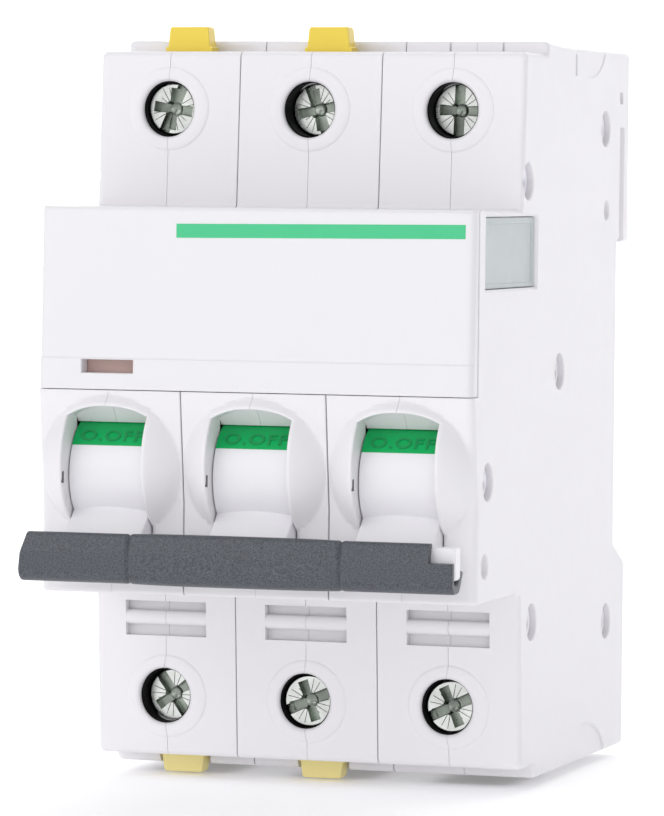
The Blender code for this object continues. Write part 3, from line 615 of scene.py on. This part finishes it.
def side_features(sign):
    """Shallow recesses in one outer side face: blind holes, rivet mouths, arches and slots."""
    face = sign * HALF
    recesses = [(ellipse((y, z), (r, r), BORE_STEPS), 0.75, 0.1) for y, z, r in BLIND_POCKETS]
    recesses += [(ellipse(place, (POCKET_R, POCKET_R), BORE_STEPS), WALL + 0.4, 0.12)
                 for place in RIVETS.values()]
    recesses += [
        (clockwise(ellipse((-14.45, -47.6), (10.95, 5.1), 20, 1)), 0.35, 0.18),
        (clockwise(ellipse((-14.2, 42.9), (7.3, 4.4), 18, -1)), 0.14, 0.1),
        (fillet([(2.8, 32.45, 0.3), (2.8, 17.0, 0), (0.6, 17.0, 0), (0.6, 32.45, 0.3)], 3), 0.8, 0.1),
        (rounded_box((0.4, 2.0), (35.4, 36.9), 0.2), 0.8, 0.08),
        (rounded_box((-21.7, -20.9), (38.6, 41.3), 0.2), 0.7, 0.08)]
    cutters = []
    for i, (points, depth, flare) in enumerate(recesses):
        bm = bmesh.new()
        add_loft(bm, [[(face - sign * depth, y, z) for y, z in points],
                      [(face - sign * flare, y, z) for y, z in points],
                      [(face + sign * 0.3, y, z) for y, z in inset(points, -flare - 0.3)]])
        cutters.append(as_object(f"cut_side_{sign}_{i}", bm))
    return cutters


def squeeze_bore(bm, end):
    """The bores are a little narrower than tall and sit slightly off their ring's centre."""
    shift = -0.14 if end == "upper" else -0.28
    for v in bm.verts:
        share = max(0.0, min(1.0, (4.7 - hypot(v.co.x, v.co.z)) / 1.2))
        v.co.x = v.co.x * (1 - 0.055 * share) + shift * share


def front_y(end, z):
    """Depth of the sloping front of the upper or lower block."""
    if end == "upper":
        return -45.7 + 1.2 * (z - 22.0) / 18.9
    return -45.0 + 1.4 * (-23.9 - z) / 21.4


def build_boss(pole, end, side):
    """Half of the raised ring round a screw hole, tilted with the face."""
    x, z = pole_x(pole), SCREW_Z[end]
    profile = [(HOLE_R, 3.4), (HOLE_R, 0.32), (HOLE_R + 0.08, 0.12), (HOLE_R + 0.24, -0.06),
               (HOLE_R + 0.45, -0.16), (HOLE_R + 0.7, -0.18), (4.72, -0.18), (4.92, -0.15), (5.05, -0.07),
               (5.1, 0.04), (5.1, 0.7), (4.6, 0.7), (4.6, 3.4)]
    arc = (-pi / 2, pi / 2) if side > 0 else (pi / 2, 3 * pi / 2)
    bm = bmesh.new()
    add_turned(bm, profile, (0, 0), steps=36, arc=arc)
    squeeze_bore(bm, end)
    tilt = Matrix.Rotation(-SLOPE[end], 4, "X")
    place = Matrix.Translation((x + side * PARTING, front_y(end, z), z)) @ tilt
    bmesh.ops.transform(bm, matrix=place, verts=bm.verts)
    return as_object(f"boss_{pole}_{end}_{side}", bm, CASE)


def case_cutters(pole, side, inside):
    """The hollow and every opening of one case half, placed round the pole's middle."""
    x0 = pole_x(pole)
    cutters = []

    def keep(bm):
        cutters.append(as_object(f"cut_case_{pole}_{side}_{len(cutters)}", bm))

    def cut_prism(points, x):
        bm = bmesh.new()
        add_prism(bm, points, (x0 + x[0], x0 + x[1]))
        keep(bm)

    def cut_box(x, y, z):
        cut_prism([(y[1], z[1]), (y[1], z[0]), (y[0], z[0]), (y[0], z[1])], x)

    def cut_tube(axis, centre, radius, low, high, steps):
        bm = bmesh.new()
        add_tube(bm, axis, centre, radius, low, high, steps)
        keep(bm)

    inner = fillet([(y, z, 0) for y, z in inset([(p[0], p[1]) for p in OUTLINE], WALL)])
    cut_prism(inner, sorted((-side, side * inside)))
    for end in ENDS:
        cut_tube("Y", (x0, SCREW_Z[end]), 4.2, -48.0, -41.0, 40)
        cut_box((-5.0, 5.0), ENTRY_Y, ENTRY_WALL_Z[end])
        if pole != 3:
            cut_box((-3.35, 7.45), TAB_SLOT_Y, TAB_SLOT_Z[end])
        if end == "lower" and pole != 3:
            cut_box((-3.3, 3.3), TAB_SLOT_Y, (-47.7, -44.0))
    cut_box((-SLOT_X, SLOT_X), (-72.0, -61.0), (SLOT_LOW, -1.4))
    cut_tube("X", (-46.6, 17.5), 1.8, x0 - 12.0, x0 + 12.0, 20)
    for place in RIVETS.values():
        cut_tube("X", place, POCKET_R, x0 - 12.0, x0 + 12.0, BORE_STEPS)
    label = [(LABEL_BACK_Y, LABEL_Z[1], 0.2), (LABEL_BACK_Y, LABEL_Z[0], 0.2), (-46.5, LABEL_Z[0], 0),
             (-46.5, LABEL_Z[1], 0)]
    cut_prism(fillet(label, 3), (-LABEL_HALF, LABEL_HALF))
    if side > 0:
        for leg_z in ((17.2, 19.6), (-24.4, -20.0)):
            cut_box((5.35, 7.45), (1.2, 4.0), leg_z)
    if pole == 3:
        slit = side * 3.35
        cut_box((slit - 0.14, slit + 0.14), (-35.2, -34.3), (41.2, 43.2))
    if pole == 1:
        cut_box((-4.1, 4.1), (-64.4, -62.0), (0.8, 9.9))
    if pole == 3 and side > 0:
        port = rounded_box(PORT_Y, PORT_Z, 0.25)
        bm = bmesh.new()
        add_loft(bm, [[(25.4, y, z) for y, z in port], [(26.7, y, z) for y, z in port],
                      [(27.4, y, z) for y, z in inset(port, -0.7)]])
        keep(bm)
    return cutters


def build_case_half(pole, side):
    x0 = pole_x(pole)
    outermost = (pole == 1 and side < 0) or (pole == 3 and side > 0)
    outer = PITCH / 2 - (0.0 if outermost else JOINT)
    name = f"case_{'left' if side < 0 else 'right'}_{pole}"

    def rim(y, z):
        return end_rounding(outermost, y, z)

    def from_parting(reach):
        """The span in X from the parting line to a distance from the pole's middle."""
        return sorted((x0 + side * PARTING, x0 + side * reach))

    bm = bmesh.new()
    low, high = (PARTING_EDGE, rim) if side > 0 else (rim, PARTING_EDGE)
    add_prism(bm, OUTLINE, from_parting(outer), low=low, high=high)
    half = as_object(f"v_{name}", bm, CASE)
    cutters = case_cutters(pole, side, outer - WALL)
    if outermost:
        cutters += side_features(side)
    cut(half, cutters)

    extras = [build_face(pole, side, PARTING, outer - 0.02, outermost)]
    extras += [build_boss(pole, end, side) for end in ENDS]
    hood = bmesh.new()
    hood_outline = [(-61.2, -0.2, 0), (-61.2, -1.9, 0.2), (-62.2, -3.55, 0.1), (-62.45, -3.62, 0.12),
                    (-64.2, -1.6, 0.6), (-64.2, -0.2, 0)]
    add_prism(hood, fillet(hood_outline), from_parting(SLOT_X + 0.3))
    extras.append(as_object(f"hood_{name}", hood, CASE))
    label = bmesh.new()
    middle = sum(LABEL_BAR) / 2
    radius = (LABEL_BAR[1] - LABEL_BAR[0]) / 2
    add_prism(label, ellipse((-44.02, middle), (0.8 * radius, radius), 24), from_parting(LABEL_HALF + 0.05))
    add_box(label, from_parting(LABEL_HALF + 0.5), (LABEL_BACK_Y - 0.05, LABEL_BACK_Y + 0.25),
            (LABEL_Z[0] - 0.5, LABEL_Z[1] + 0.5))
    extras.append(as_object(f"label_{name}", label, CASE))
    if side > 0:
        tongue = bmesh.new()
        add_box(tongue, (x0 - 2.0, x0 + 1.0), (-WALL, -0.01), (-4.0, 4.0))
        add_tube(tongue, "X", (-34.0, -12.0), 1.3, x0 - 3.0, x0 + outer - 0.6, 20)
        extras.append(as_object(f"inside_{name}", tongue, CASE))
    merge(half, extras)
    finish_piece(half, "case", (name,))


# Front panel, port cover, rivets and the black sleeves of painted shade in the screw holes

def stepped(*parts):
    """Sorted unique grid values from several lists, with near doubles left out."""
    values = sorted(v for part in parts for v in part)
    result = [values[0]]
    for v in values[1:]:
        if v - result[-1] > 0.004:
            result.append(v)
    return result


def edge_steps(edge, direction, radius):
    return [edge + direction * radius * s for s in (0.0, 0.015, 0.06, 0.14, 0.26, 0.42, 0.65, 1.0)]


def spaced(low, high, count):
    return [low + (high - low) * k / count for k in range(count + 1)]


def build_panel():
    side_r, top_r, low_r = 1.1, 0.6, 0.12
    xs = stepped(edge_steps(-PANEL_HALF, 1, side_r), edge_steps(PANEL_HALF, -1, side_r),
                 spaced(-PANEL_HALF + side_r, PANEL_HALF - side_r, 26),
                 [WINDOW_X[0] - s for s in (0.3, 0.12, 0.0)], [WINDOW_X[1] + s for s in (0.0, 0.12, 0.3)])
    zs = stepped(edge_steps(PANEL_Z[0], 1, low_r), edge_steps(PANEL_Z[1], -1, top_r),
                 [RIDGE_Z + s for s in (-0.16, -0.08, -0.02, 0.03, 0.09, 0.16)],
                 [WINDOW_Z[0] - s for s in (0.3, 0.12, 0.0)],
                 [WINDOW_Z[1], 0.9, 1.6, 3.1, 5.0, 8.0, 12.0, 16.0, 20.0])

    def surface(x, z):
        y = panel_face(z)
        rise = min(1.0, max(0.0, (RIDGE_Z + 0.09 - z) / 0.18))
        y -= 0.14 * rise * rise * (3 - 2 * rise)
        nearest = max(WINDOW_X[0] - x, x - WINDOW_X[1], WINDOW_Z[0] - z, z - WINDOW_Z[1])
        y += rounding(max(0.0, nearest), 0.12) * 0.8
        drop_x = rounding(PANEL_HALF - abs(x), side_r)
        drop_z = rounding(PANEL_Z[1] - z, top_r) + rounding(z - PANEL_Z[0], low_r)
        return min(y + max(drop_x, drop_z) + 0.25 * min(drop_x, drop_z), PANEL_BACK_Y - 0.1)

    def keep(x, z):
        return not (WINDOW_X[0] < x < WINDOW_X[1] and WINDOW_Z[0] < z < WINDOW_Z[1])

    bm = bmesh.new()
    add_relief(bm, xs, lambda x: zs, surface, PANEL_BACK_Y, keep)
    finish_piece(as_object("v_front_panel", bm, PANEL), "case", ("front_panel",))

    band = bmesh.new()
    band_xs = stepped(edge_steps(BAND_X[0], 1, 0.04), edge_steps(BAND_X[1], -1, 0.04), spaced(*BAND_X, 12))
    band_zs = stepped(edge_steps(BAND_Z[0], 1, 0.04), edge_steps(BAND_Z[1], -1, 0.04))

    def band_surface(x, z):
        edge = min(x - BAND_X[0], BAND_X[1] - x)
        return panel_face(z) - (0.015 if edge < 0.02 else 0.035)

    def band_rows(x):
        return [z + (x - 8.0) * tan(BAND_LEAN) for z in band_zs]

    add_relief(band, band_xs, band_rows, band_surface, -65.1, lambda x, z: True)
    finish_piece(as_object("printed_band", band, PRINT), "case")


def build_port_cover():
    margin = 0.06
    bm = bmesh.new()
    outline = rounded_box((PORT_Y[0] + margin, PORT_Y[1] - margin), (PORT_Z[0] + margin, PORT_Z[1] - margin),
                          0.2)
    add_prism(bm, outline, (25.85, 26.5), high=0.18)
    cover = as_object("v_port_cover", bm, PORT)
    field = bmesh.new()
    sunk = rounded_box((PORT_Y[0] + 1.0, PORT_Y[1] - 1.0), (PORT_Z[0] + 0.7, PORT_Z[1] - 0.9), 0.3)
    add_loft(field, [[(26.38, y, z) for y, z in sunk], [(26.7, y, z) for y, z in inset(sunk, -0.25)]])
    cut(cover, [as_object("cut_port_field", field)])
    finish_piece(cover, "case", ("port_cover",))


def build_rivets():
    """Tubular rivets: a rolled rim round a shallow dimple at each end."""
    end = 26.35
    head = [(0.0, 0.5), (0.8, 0.45), (1.0, 0.12), (1.35, 0.0), (1.9, 0.1), (2.1, 0.4), (2.1, 0.75),
            (1.8, 0.8)]
    profile = [(r, -end + depth) for r, depth in head] + [(r, end - depth) for r, depth in head[::-1]]
    for name, (y, z) in RIVETS.items():
        bm = bmesh.new()
        add_turned(bm, profile, (y, z), axis="X", steps=BORE_STEPS)
        finish_piece(as_object(f"v_{name}", bm, RIVET), "case", (name,), 50.0)


def build_hole_shade_sleeves():
    """Black sleeves inside the screw holes, painted shade for the holes' depths."""
    for pole in POLES:
        for end in ENDS:
            face = SHADE_SLEEVE_FACE_Y[end]
            profile = [(3.26, SHADE_SLEEVE_END_Y), (3.26, face + 0.62), (3.33, face + 0.55), (3.45, face + 0.55),
                       (3.45, SHADE_SLEEVE_END_Y)]
            bm = bmesh.new()
            add_turned(bm, profile, (0, 0), steps=48)
            squeeze_bore(bm, end)
            bmesh.ops.translate(bm, verts=bm.verts, vec=(pole_x(pole), 0, SCREW_Z[end]))
            finish_piece(as_object(f"hole_shade_sleeve_{end}_{pole}", bm, BLACK_AND_PAINTED_SHADE), "case")


# Handle

def toggle_outline(crown):
    """Barrel and lever in one outline; crown lifts the ramp towards the middle."""
    start = radians(-40.5) + crown * 0.09
    points = []
    count = 40
    for k in range(count + 1):
        angle = start + (radians(236.0) - start) * k / count
        points.append((AXLE[0] - BARREL_R * cos(angle), AXLE[1] + BARREL_R * sin(angle)))
    points += [(-63.6, -18.6), (-66.2, -20.35), (-71.2, -20.55), (-71.35, -20.4), (-71.35, -17.95),
               (-71.2, -17.8), (-68.9, -17.7 + 0.25 * crown), (-67.6, -16.9 + 0.45 * crown),
               (-66.3, -15.75 + 0.5 * crown), (-65.2, -14.85 + 0.45 * crown)]
    return points


def build_toggle(pole):
    x0 = pole_x(pole)
    half = BARREL_HALF
    bm = bmesh.new()
    loops = []
    stations = (0.25, 0.5, 0.75, 0.954, 0.975, 0.993, 1.0)
    for t in (*(-t for t in stations[::-1]), 0.0, *stations):
        drop = rounding((1 - abs(t)) * half, 0.22)
        loops.append([(x0 + t * half, y, z) for y, z in inset(toggle_outline(1 - t * t), drop)])
    add_loft(bm, loops)
    toggle = as_object(f"v_toggle_{pole}", bm, TOGGLE)

    bore = bmesh.new()
    add_tube(bore, "X", AXLE, AXLE_BORE_R, x0 - 8, x0 + 8, BORE_STEPS)
    crank = (AXLE[0] + CRANK_REACH * cos(CRANK_ANGLE), AXLE[1] + CRANK_REACH * sin(CRANK_ANGLE))
    hole = bmesh.new()
    add_tube(hole, "X", crank, 1.0, x0 + 2.4, x0 + 6.0, 16)
    cut(toggle, [as_object("cut_axle", bore), as_object("cut_crank", hole)])

    lug = bmesh.new()
    reach = 8.62 if pole == 3 else 6.9
    add_prism(lug, rounded_box((-71.45, -69.2), (-20.5, -16.7), 0.25), (x0 - 6.9, x0 + reach),
              low=0.25, high=0.25)
    strip = bmesh.new()
    low, high = STRIP_ANGLES
    section = [(AXLE[0] - r * cos(a), AXLE[1] + r * sin(a))
               for r, order in ((BARREL_R + 0.05, 1), (BARREL_R - 0.5, -1))
               for a in [low + (high - low) * k / 10 for k in range(11)][::order]]
    add_prism(strip, clockwise(section), (x0 - half + 0.06, x0 + half - 0.06), low=0.05, high=0.05, steps=2)
    merge(toggle, [as_object(f"lug_{pole}", lug, TOGGLE), as_object(f"strip_{pole}", strip, GREEN),
                   build_marking(pole)])
    finish_piece(toggle, "handle", (f"toggle_{pole}",))


def build_marking(pole):
    """The generic on-off marking, raised a little from the green strip."""
    curve = bpy.data.curves.new(f"marking_{pole}", "FONT")
    curve.body = "O.OFF"
    curve.size = 2.2 * MM
    curve.extrude = 0.09 * MM
    curve.bevel_depth = 0.015 * MM
    curve.offset = 0.02 * MM
    curve.align_x = "CENTER"
    curve.align_y = "CENTER"
    curve.space_character = 1.12
    curve.resolution_u = 4
    text = bpy.data.objects.new(f"marking_{pole}", curve)
    bpy.context.scene.collection.objects.link(text)
    graph = bpy.context.evaluated_depsgraph_get()
    mesh = bpy.data.meshes.new_from_object(text.evaluated_get(graph))
    bpy.data.objects.remove(text, do_unlink=True)
    for v in mesh.vertices:
        x, up, out = v.co / MM
        angle = MARKING_ANGLE + up / BARREL_R
        r = BARREL_R + 0.05 + out
        v.co = Vector((pole_x(pole) + x * 1.18, AXLE[0] - r * cos(angle), AXLE[1] + r * sin(angle))) * MM
    mesh.materials.clear()
    mesh.materials.append(LETTER)
    obj = bpy.data.objects.new(f"marking_{pole}_mesh", mesh)
    bpy.context.scene.collection.objects.link(obj)
    return obj


def build_tie_bar():
    """Channel bar, open at the top, with a swollen middle third and a groove at each of its ends."""
    section = [(-70.8, -16.1, 0.4), (-71.6, -17.8, 0.6), (-71.6, -20.9, 0.8), (-70.6, -20.9, 0.4),
               (-69.3, -19.4, 0.25), (-67.7, -19.4, 0.3), (-69.6, -22.2, 1.1), (-73.0, -22.2, 1.6),
               (-73.0, -18.5, 1.8), (-72.2, -16.1, 0.7)]
    stations = stepped(edge_steps(-BAR_HALF, 1, BAR_END_R), edge_steps(BAR_HALF, -1, BAR_END_R),
                       spaced(-25.8, 25.8, 48),
                       [s * BAR_GROOVE_X + d for s in (-1, 1)
                        for d in (-0.35, -0.22, -0.12, 0.0, 0.12, 0.22, 0.35, 0.6, -0.6)])
    loops = []
    for x in stations:
        shrink = 0.12 + rounding(BAR_HALF - abs(x), BAR_END_R)
        shrink += 0.18 * max(0.0, 1 - abs(abs(x) - BAR_GROOVE_X) / 0.24) ** 0.6
        if abs(x) < BAR_GROOVE_X:
            shrink -= 0.12 * (1 - (abs(x) / BAR_GROOVE_X) ** 4)
        loops.append([(x, y, z) for y, z in inset(section, shrink)])
    bm = bmesh.new()
    add_loft(bm, loops)
    for v in bm.verts:
        along = (v.co.x + BAR_HALF) / BAR_SLANT
        if along < 1:
            v.co.x += 0.9 * (1 - along) * max(0.0, (v.co.z + 19.4) / 3.3)
    bar = as_object("v_tie_bar", bm, BAR)
    notch = bmesh.new()
    add_prism(notch, [(-67.0, -15.0), (-67.0, -18.45), (-74.0, -18.45), (-74.0, -15.0)], (BAR_NOTCH_X, 28.0))
    cut(bar, [as_object("cut_bar_notch", notch)])
    finish_piece(bar, "handle", ("tie_bar",))


# Screws and clips

def build_screw(pole, end):
    """Combination head: full slot, shorter flared cross arms, a cone and radial score lines."""
    node = f"terminal_screw_{end}_{pole}"
    low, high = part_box(node)
    face, tip = low.y / MM, high.y / MM
    x, z = pole_x(pole), SCREW_Z[end]
    profile = [(0.0, tip), (2.0, tip), (2.2, tip - 0.25), (2.2, face + 2.0), (3.05, face + 1.9),
               (SCREW_HEAD_R, face + 0.2), (3.07, face + 0.06), (2.97, face), (0.0, face)]
    bm = bmesh.new()
    add_turned(bm, profile, (x, z), steps=64)
    screw = as_object(f"v_{node}", bm, ZINC)
    recess = bmesh.new()

    def wedge(angle, half_near, half_far, near, far, depth, aside=0.0):
        """A recess arm from near to far along a direction in the head's face."""
        top = [(near, -half_near), (far, -half_far), (far, half_far), (near, half_near)]
        base = [(near, -half_near * 0.8), (far * 0.97, -half_far * 0.8), (far * 0.97, half_far * 0.8),
                (near, half_near * 0.8)]
        a = radians(angle)
        loops = []
        for corners, y in ((top, face - 0.3), (top, face + 0.02), (base, face + depth)):
            loops.append([(x + p * cos(a) - (q + aside) * sin(a), y, z + p * sin(a) + (q + aside) * cos(a))
                          for p, q in corners])
        add_loft(recess, loops)

    turn, arms = SLOT_TURN[end, pole]
    wedge(turn, 0.66, 0.66, -3.4, 3.4, 0.8)
    wedge(turn, 0.22, 0.22, -3.4, 3.4, 1.02, 0.33)
    for k, reach in enumerate(ARM_REACH):
        wedge(arms + 90 * k, 0.50, 0.66, -0.1, reach, 1.15 + 0.02 * k)
    add_turned(recess, [(0.0, face - 0.35), (1.2, face - 0.35), (1.1, face + 0.05), (0.8, face + 1.25),
                        (0.0, face + 1.7)], (x, z), steps=24)
    for k in range(SCORE_MARKS):
        a = radians(turn + 45 + 90 * (k // 4) + SCORE_SPREAD[k % 4])
        length = SCORE_LENGTH[k % 4]
        line = [(1.0, -0.035), (length, -0.03), (length, 0.03), (1.0, 0.035)]
        loops = [[(x + p * cos(a) - q * s * sin(a), y, z + p * sin(a) + q * s * cos(a)) for p, q in line]
                 for y, s in ((face - 0.2, 3.0), (face + 0.11, 0.4))]
        add_loft(recess, loops)
    # The cutter's material colours the recess walls with painted shade.
    cut(screw, [as_object(f"cut_{node}", recess, SCREW_RECESS_PAINTED_SHADE)], overlapping=True)
    finish_piece(screw, f"screw_{end}_{pole}", (node,), 28.0)


def build_clip(pole, end):
    """Yellow slider: a tapered pull tab with small ears on the plain hidden frame."""
    node = f"din_clip_{end}_{pole}"
    x0 = pole_x(pole)
    sign = 1 if end == "upper" else -1
    base, ear, tip = TAB_Z[end]
    right = [(2.3, tip), (2.5, tip - 0.25), (2.72, ear + 0.12), (EAR_HALF, ear), (EAR_HALF, ear - 0.7),
             (2.6, ear - 0.75), (2.6, base)]
    tab = [(-px, pz) for px, pz in right[::-1]] + right
    low, high = TAB_Y
    edge = TAB_EDGE_R
    bm = bmesh.new()
    loops = []
    for y, grow in ((low, 0.0), (low + 0.07, 0.7), (low + edge, 1.0), (high - edge, 1.0), (high - 0.07, 0.7),
                    (high, 0.0)):
        shrink = edge * (1 - grow)
        narrow = 1 - shrink / EAR_HALF
        loops.append([(x0 + px * narrow, y, sign * (pz - (shrink if pz > (base + tip) / 2 else -shrink)))
                      for px, pz in tab])
    add_loft(bm, loops)
    tint = YELLOW if end == "upper" else PALE_YELLOW
    clip = as_object(f"v_{node}", bm, tint)
    cross, strip = CLIP_CROSS_Z[end], CLIP_STRIP_Z[end]
    edge_z = cross[1] if end == "upper" else cross[0]
    hook_y, hook_z = CLIP_LEG_Y, CLIP_HOOK_Z * sign
    leg = [(low + 0.4, edge_z), (high - 0.4, edge_z), (high - 0.4, strip[1]), (hook_y[1], strip[1]),
           (hook_y[1], hook_z), (hook_y[0], hook_z), (hook_y[0], strip[0]), (low + 0.4, strip[0])]
    extra = bmesh.new()
    leg_x = [x0 + reach for reach in CLIP_LEG_X]
    add_prism(extra, fillet([(*p, 0.35) for p in clockwise(leg)], 3), leg_x, low=0.15, high=0.15)
    add_box(extra, (x0 - 2.4, x0 + 6.9), (low + 0.3, high - 0.3), (cross[0] + 0.1, cross[1] - 0.1))
    merge(clip, [as_object(f"frame_{node}", extra, tint)])
    finish_piece(clip, f"clip_{end}_{pole}", (node,))


# Inner pieces keep their CAD shape

def dress_inner_nodes():
    looks = {"terminal_cage": STEEL, "link": STEEL, "arc_chute": STEEL, "magnet_yoke": STEEL,
             "plunger": STEEL, "contact_arm": COPPER, "fixed_contact": COPPER, "bimetal": COPPER,
             "coil": WINDING, "trip_bar": BLACK_AND_PAINTED_SHADE, "trip_flag": FLAG}
    for name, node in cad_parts.items():
        for start, material in looks.items():
            if name.startswith(start):
                node.data.materials.clear()
                node.data.materials.append(material)
                break


# Stage, light and camera

def build_stage():
    bm = bmesh.new()
    start, radius = FLOOR_BEND
    turns = [pi / 2 * k / BEND_STEPS for k in range(1, BEND_STEPS + 1)]
    rows = [(FLOOR_FRONT, 0.0), (start, 0.0)]
    rows += [(start + radius * sin(turn), radius - radius * cos(turn)) for turn in turns]
    rows += [(start + radius, 3.0)]
    sides = [[bm.verts.new((x, y, z + FLOOR_Z)) for y, z in rows] for x in (-FLOOR_HALF, FLOOR_HALF)]
    for k in range(len(rows) - 1):
        bm.faces.new((sides[0][k], sides[1][k], sides[1][k + 1], sides[0][k + 1]))
    mesh = bpy.data.meshes.new("floor")
    bm.to_mesh(mesh)
    bm.free()
    floor = bpy.data.objects.new("floor", mesh)
    bpy.context.scene.collection.objects.link(floor)
    mesh.shade_smooth()
    material, tree, shader = shader_nodes("pale_floor")
    place = tree.nodes.new("ShaderNodeTexCoord").outputs["Object"]
    tree.links.new(mixed(tree, noise(tree, place, 6.0), (0.93, 0.93, 0.94), (0.95, 0.95, 0.955)),
                   shader.inputs["Base Color"])
    shader.inputs["Roughness"].default_value = 0.9
    shader.inputs["Specular IOR Level"].default_value = 0.1
    shader.inputs["Emission Color"].default_value = (1.0, 1.0, 1.0, 1.0)
    shader.inputs["Emission Strength"].default_value = 0.22
    mesh.materials.append(material)


def add_light(name, place, size, power, colour=(1.0, 1.0, 1.0), target=(0.0, -0.035, 0.0)):
    light = bpy.data.lights.new(name, "AREA")
    light.shape = "RECTANGLE"
    light.size, light.size_y = size
    light.energy = power
    light.color = colour
    obj = bpy.data.objects.new(name, light)
    bpy.context.scene.collection.objects.link(obj)
    direction = Vector(target) - Vector(place)
    obj.rotation_euler = direction.to_track_quat("-Z", "Y").to_euler()
    obj.location = place


def build_lights():
    add_light("key_left", (-0.75, -1.05, 0.70), (1.1, 1.1), 6.3)
    add_light("fill_right", (0.5, -1.2, 0.2), (0.8, 1.0), 3.0, (0.975, 0.985, 1.0))
    add_light("low_front", (0.1, -1.1, -0.02), (1.6, 0.12), 0.5, target=(0.0, -0.04, -0.03))
    add_light("top", (0.0, 0.1, 1.1), (1.4, 1.4), 2.0)
    add_light("backdrop", (0.0, 0.9, 1.6), (2.5, 0.5), 30.0, target=(0.0, 2.0, 0.6))
    world = bpy.data.worlds.new("soft_white")
    bpy.context.scene.world = world
    world.use_nodes = True
    background = world.node_tree.nodes["Background"]
    background.inputs["Color"].default_value = (0.985, 0.985, 1.0, 1.0)
    background.inputs["Strength"].default_value = 0.48


def build_camera():
    back = Vector((sin(CAMERA_AZIMUTH) * cos(CAMERA_ELEVATION), -cos(CAMERA_AZIMUTH) * cos(CAMERA_ELEVATION),
                   sin(CAMERA_ELEVATION)))
    right = Vector((cos(CAMERA_AZIMUTH), sin(CAMERA_AZIMUTH), 0.0))
    up = back.cross(right)
    across = right * cos(CAMERA_ROLL) + up * sin(CAMERA_ROLL)
    upward = up * cos(CAMERA_ROLL) - right * sin(CAMERA_ROLL)
    place = (Vector(CAMERA_TARGET) + back * CAMERA_DISTANCE) * MM
    data = bpy.data.cameras.new("camera")
    data.lens = 226.9
    data.sensor_width = 36.0
    data.clip_start = 0.05
    camera = bpy.data.objects.new("camera", data)
    bpy.context.scene.collection.objects.link(camera)
    turn = Matrix((across, upward, back)).transposed().to_4x4()
    camera.matrix_world = Matrix.Translation(place) @ turn
    bpy.context.scene.camera = camera


build_camera()
build_lights()
build_stage()
for pole in POLES:
    for side in (-1, 1):
        build_case_half(pole, side)
    build_toggle(pole)
    for end in ENDS:
        build_screw(pole, end)
        if pole != 3:
            build_clip(pole, end)
build_panel()
build_port_cover()
build_rivets()
build_hole_shade_sleeves()
build_tie_bar()
dress_inner_nodes()
bpy.context.scene.view_settings.view_transform = "Standard"
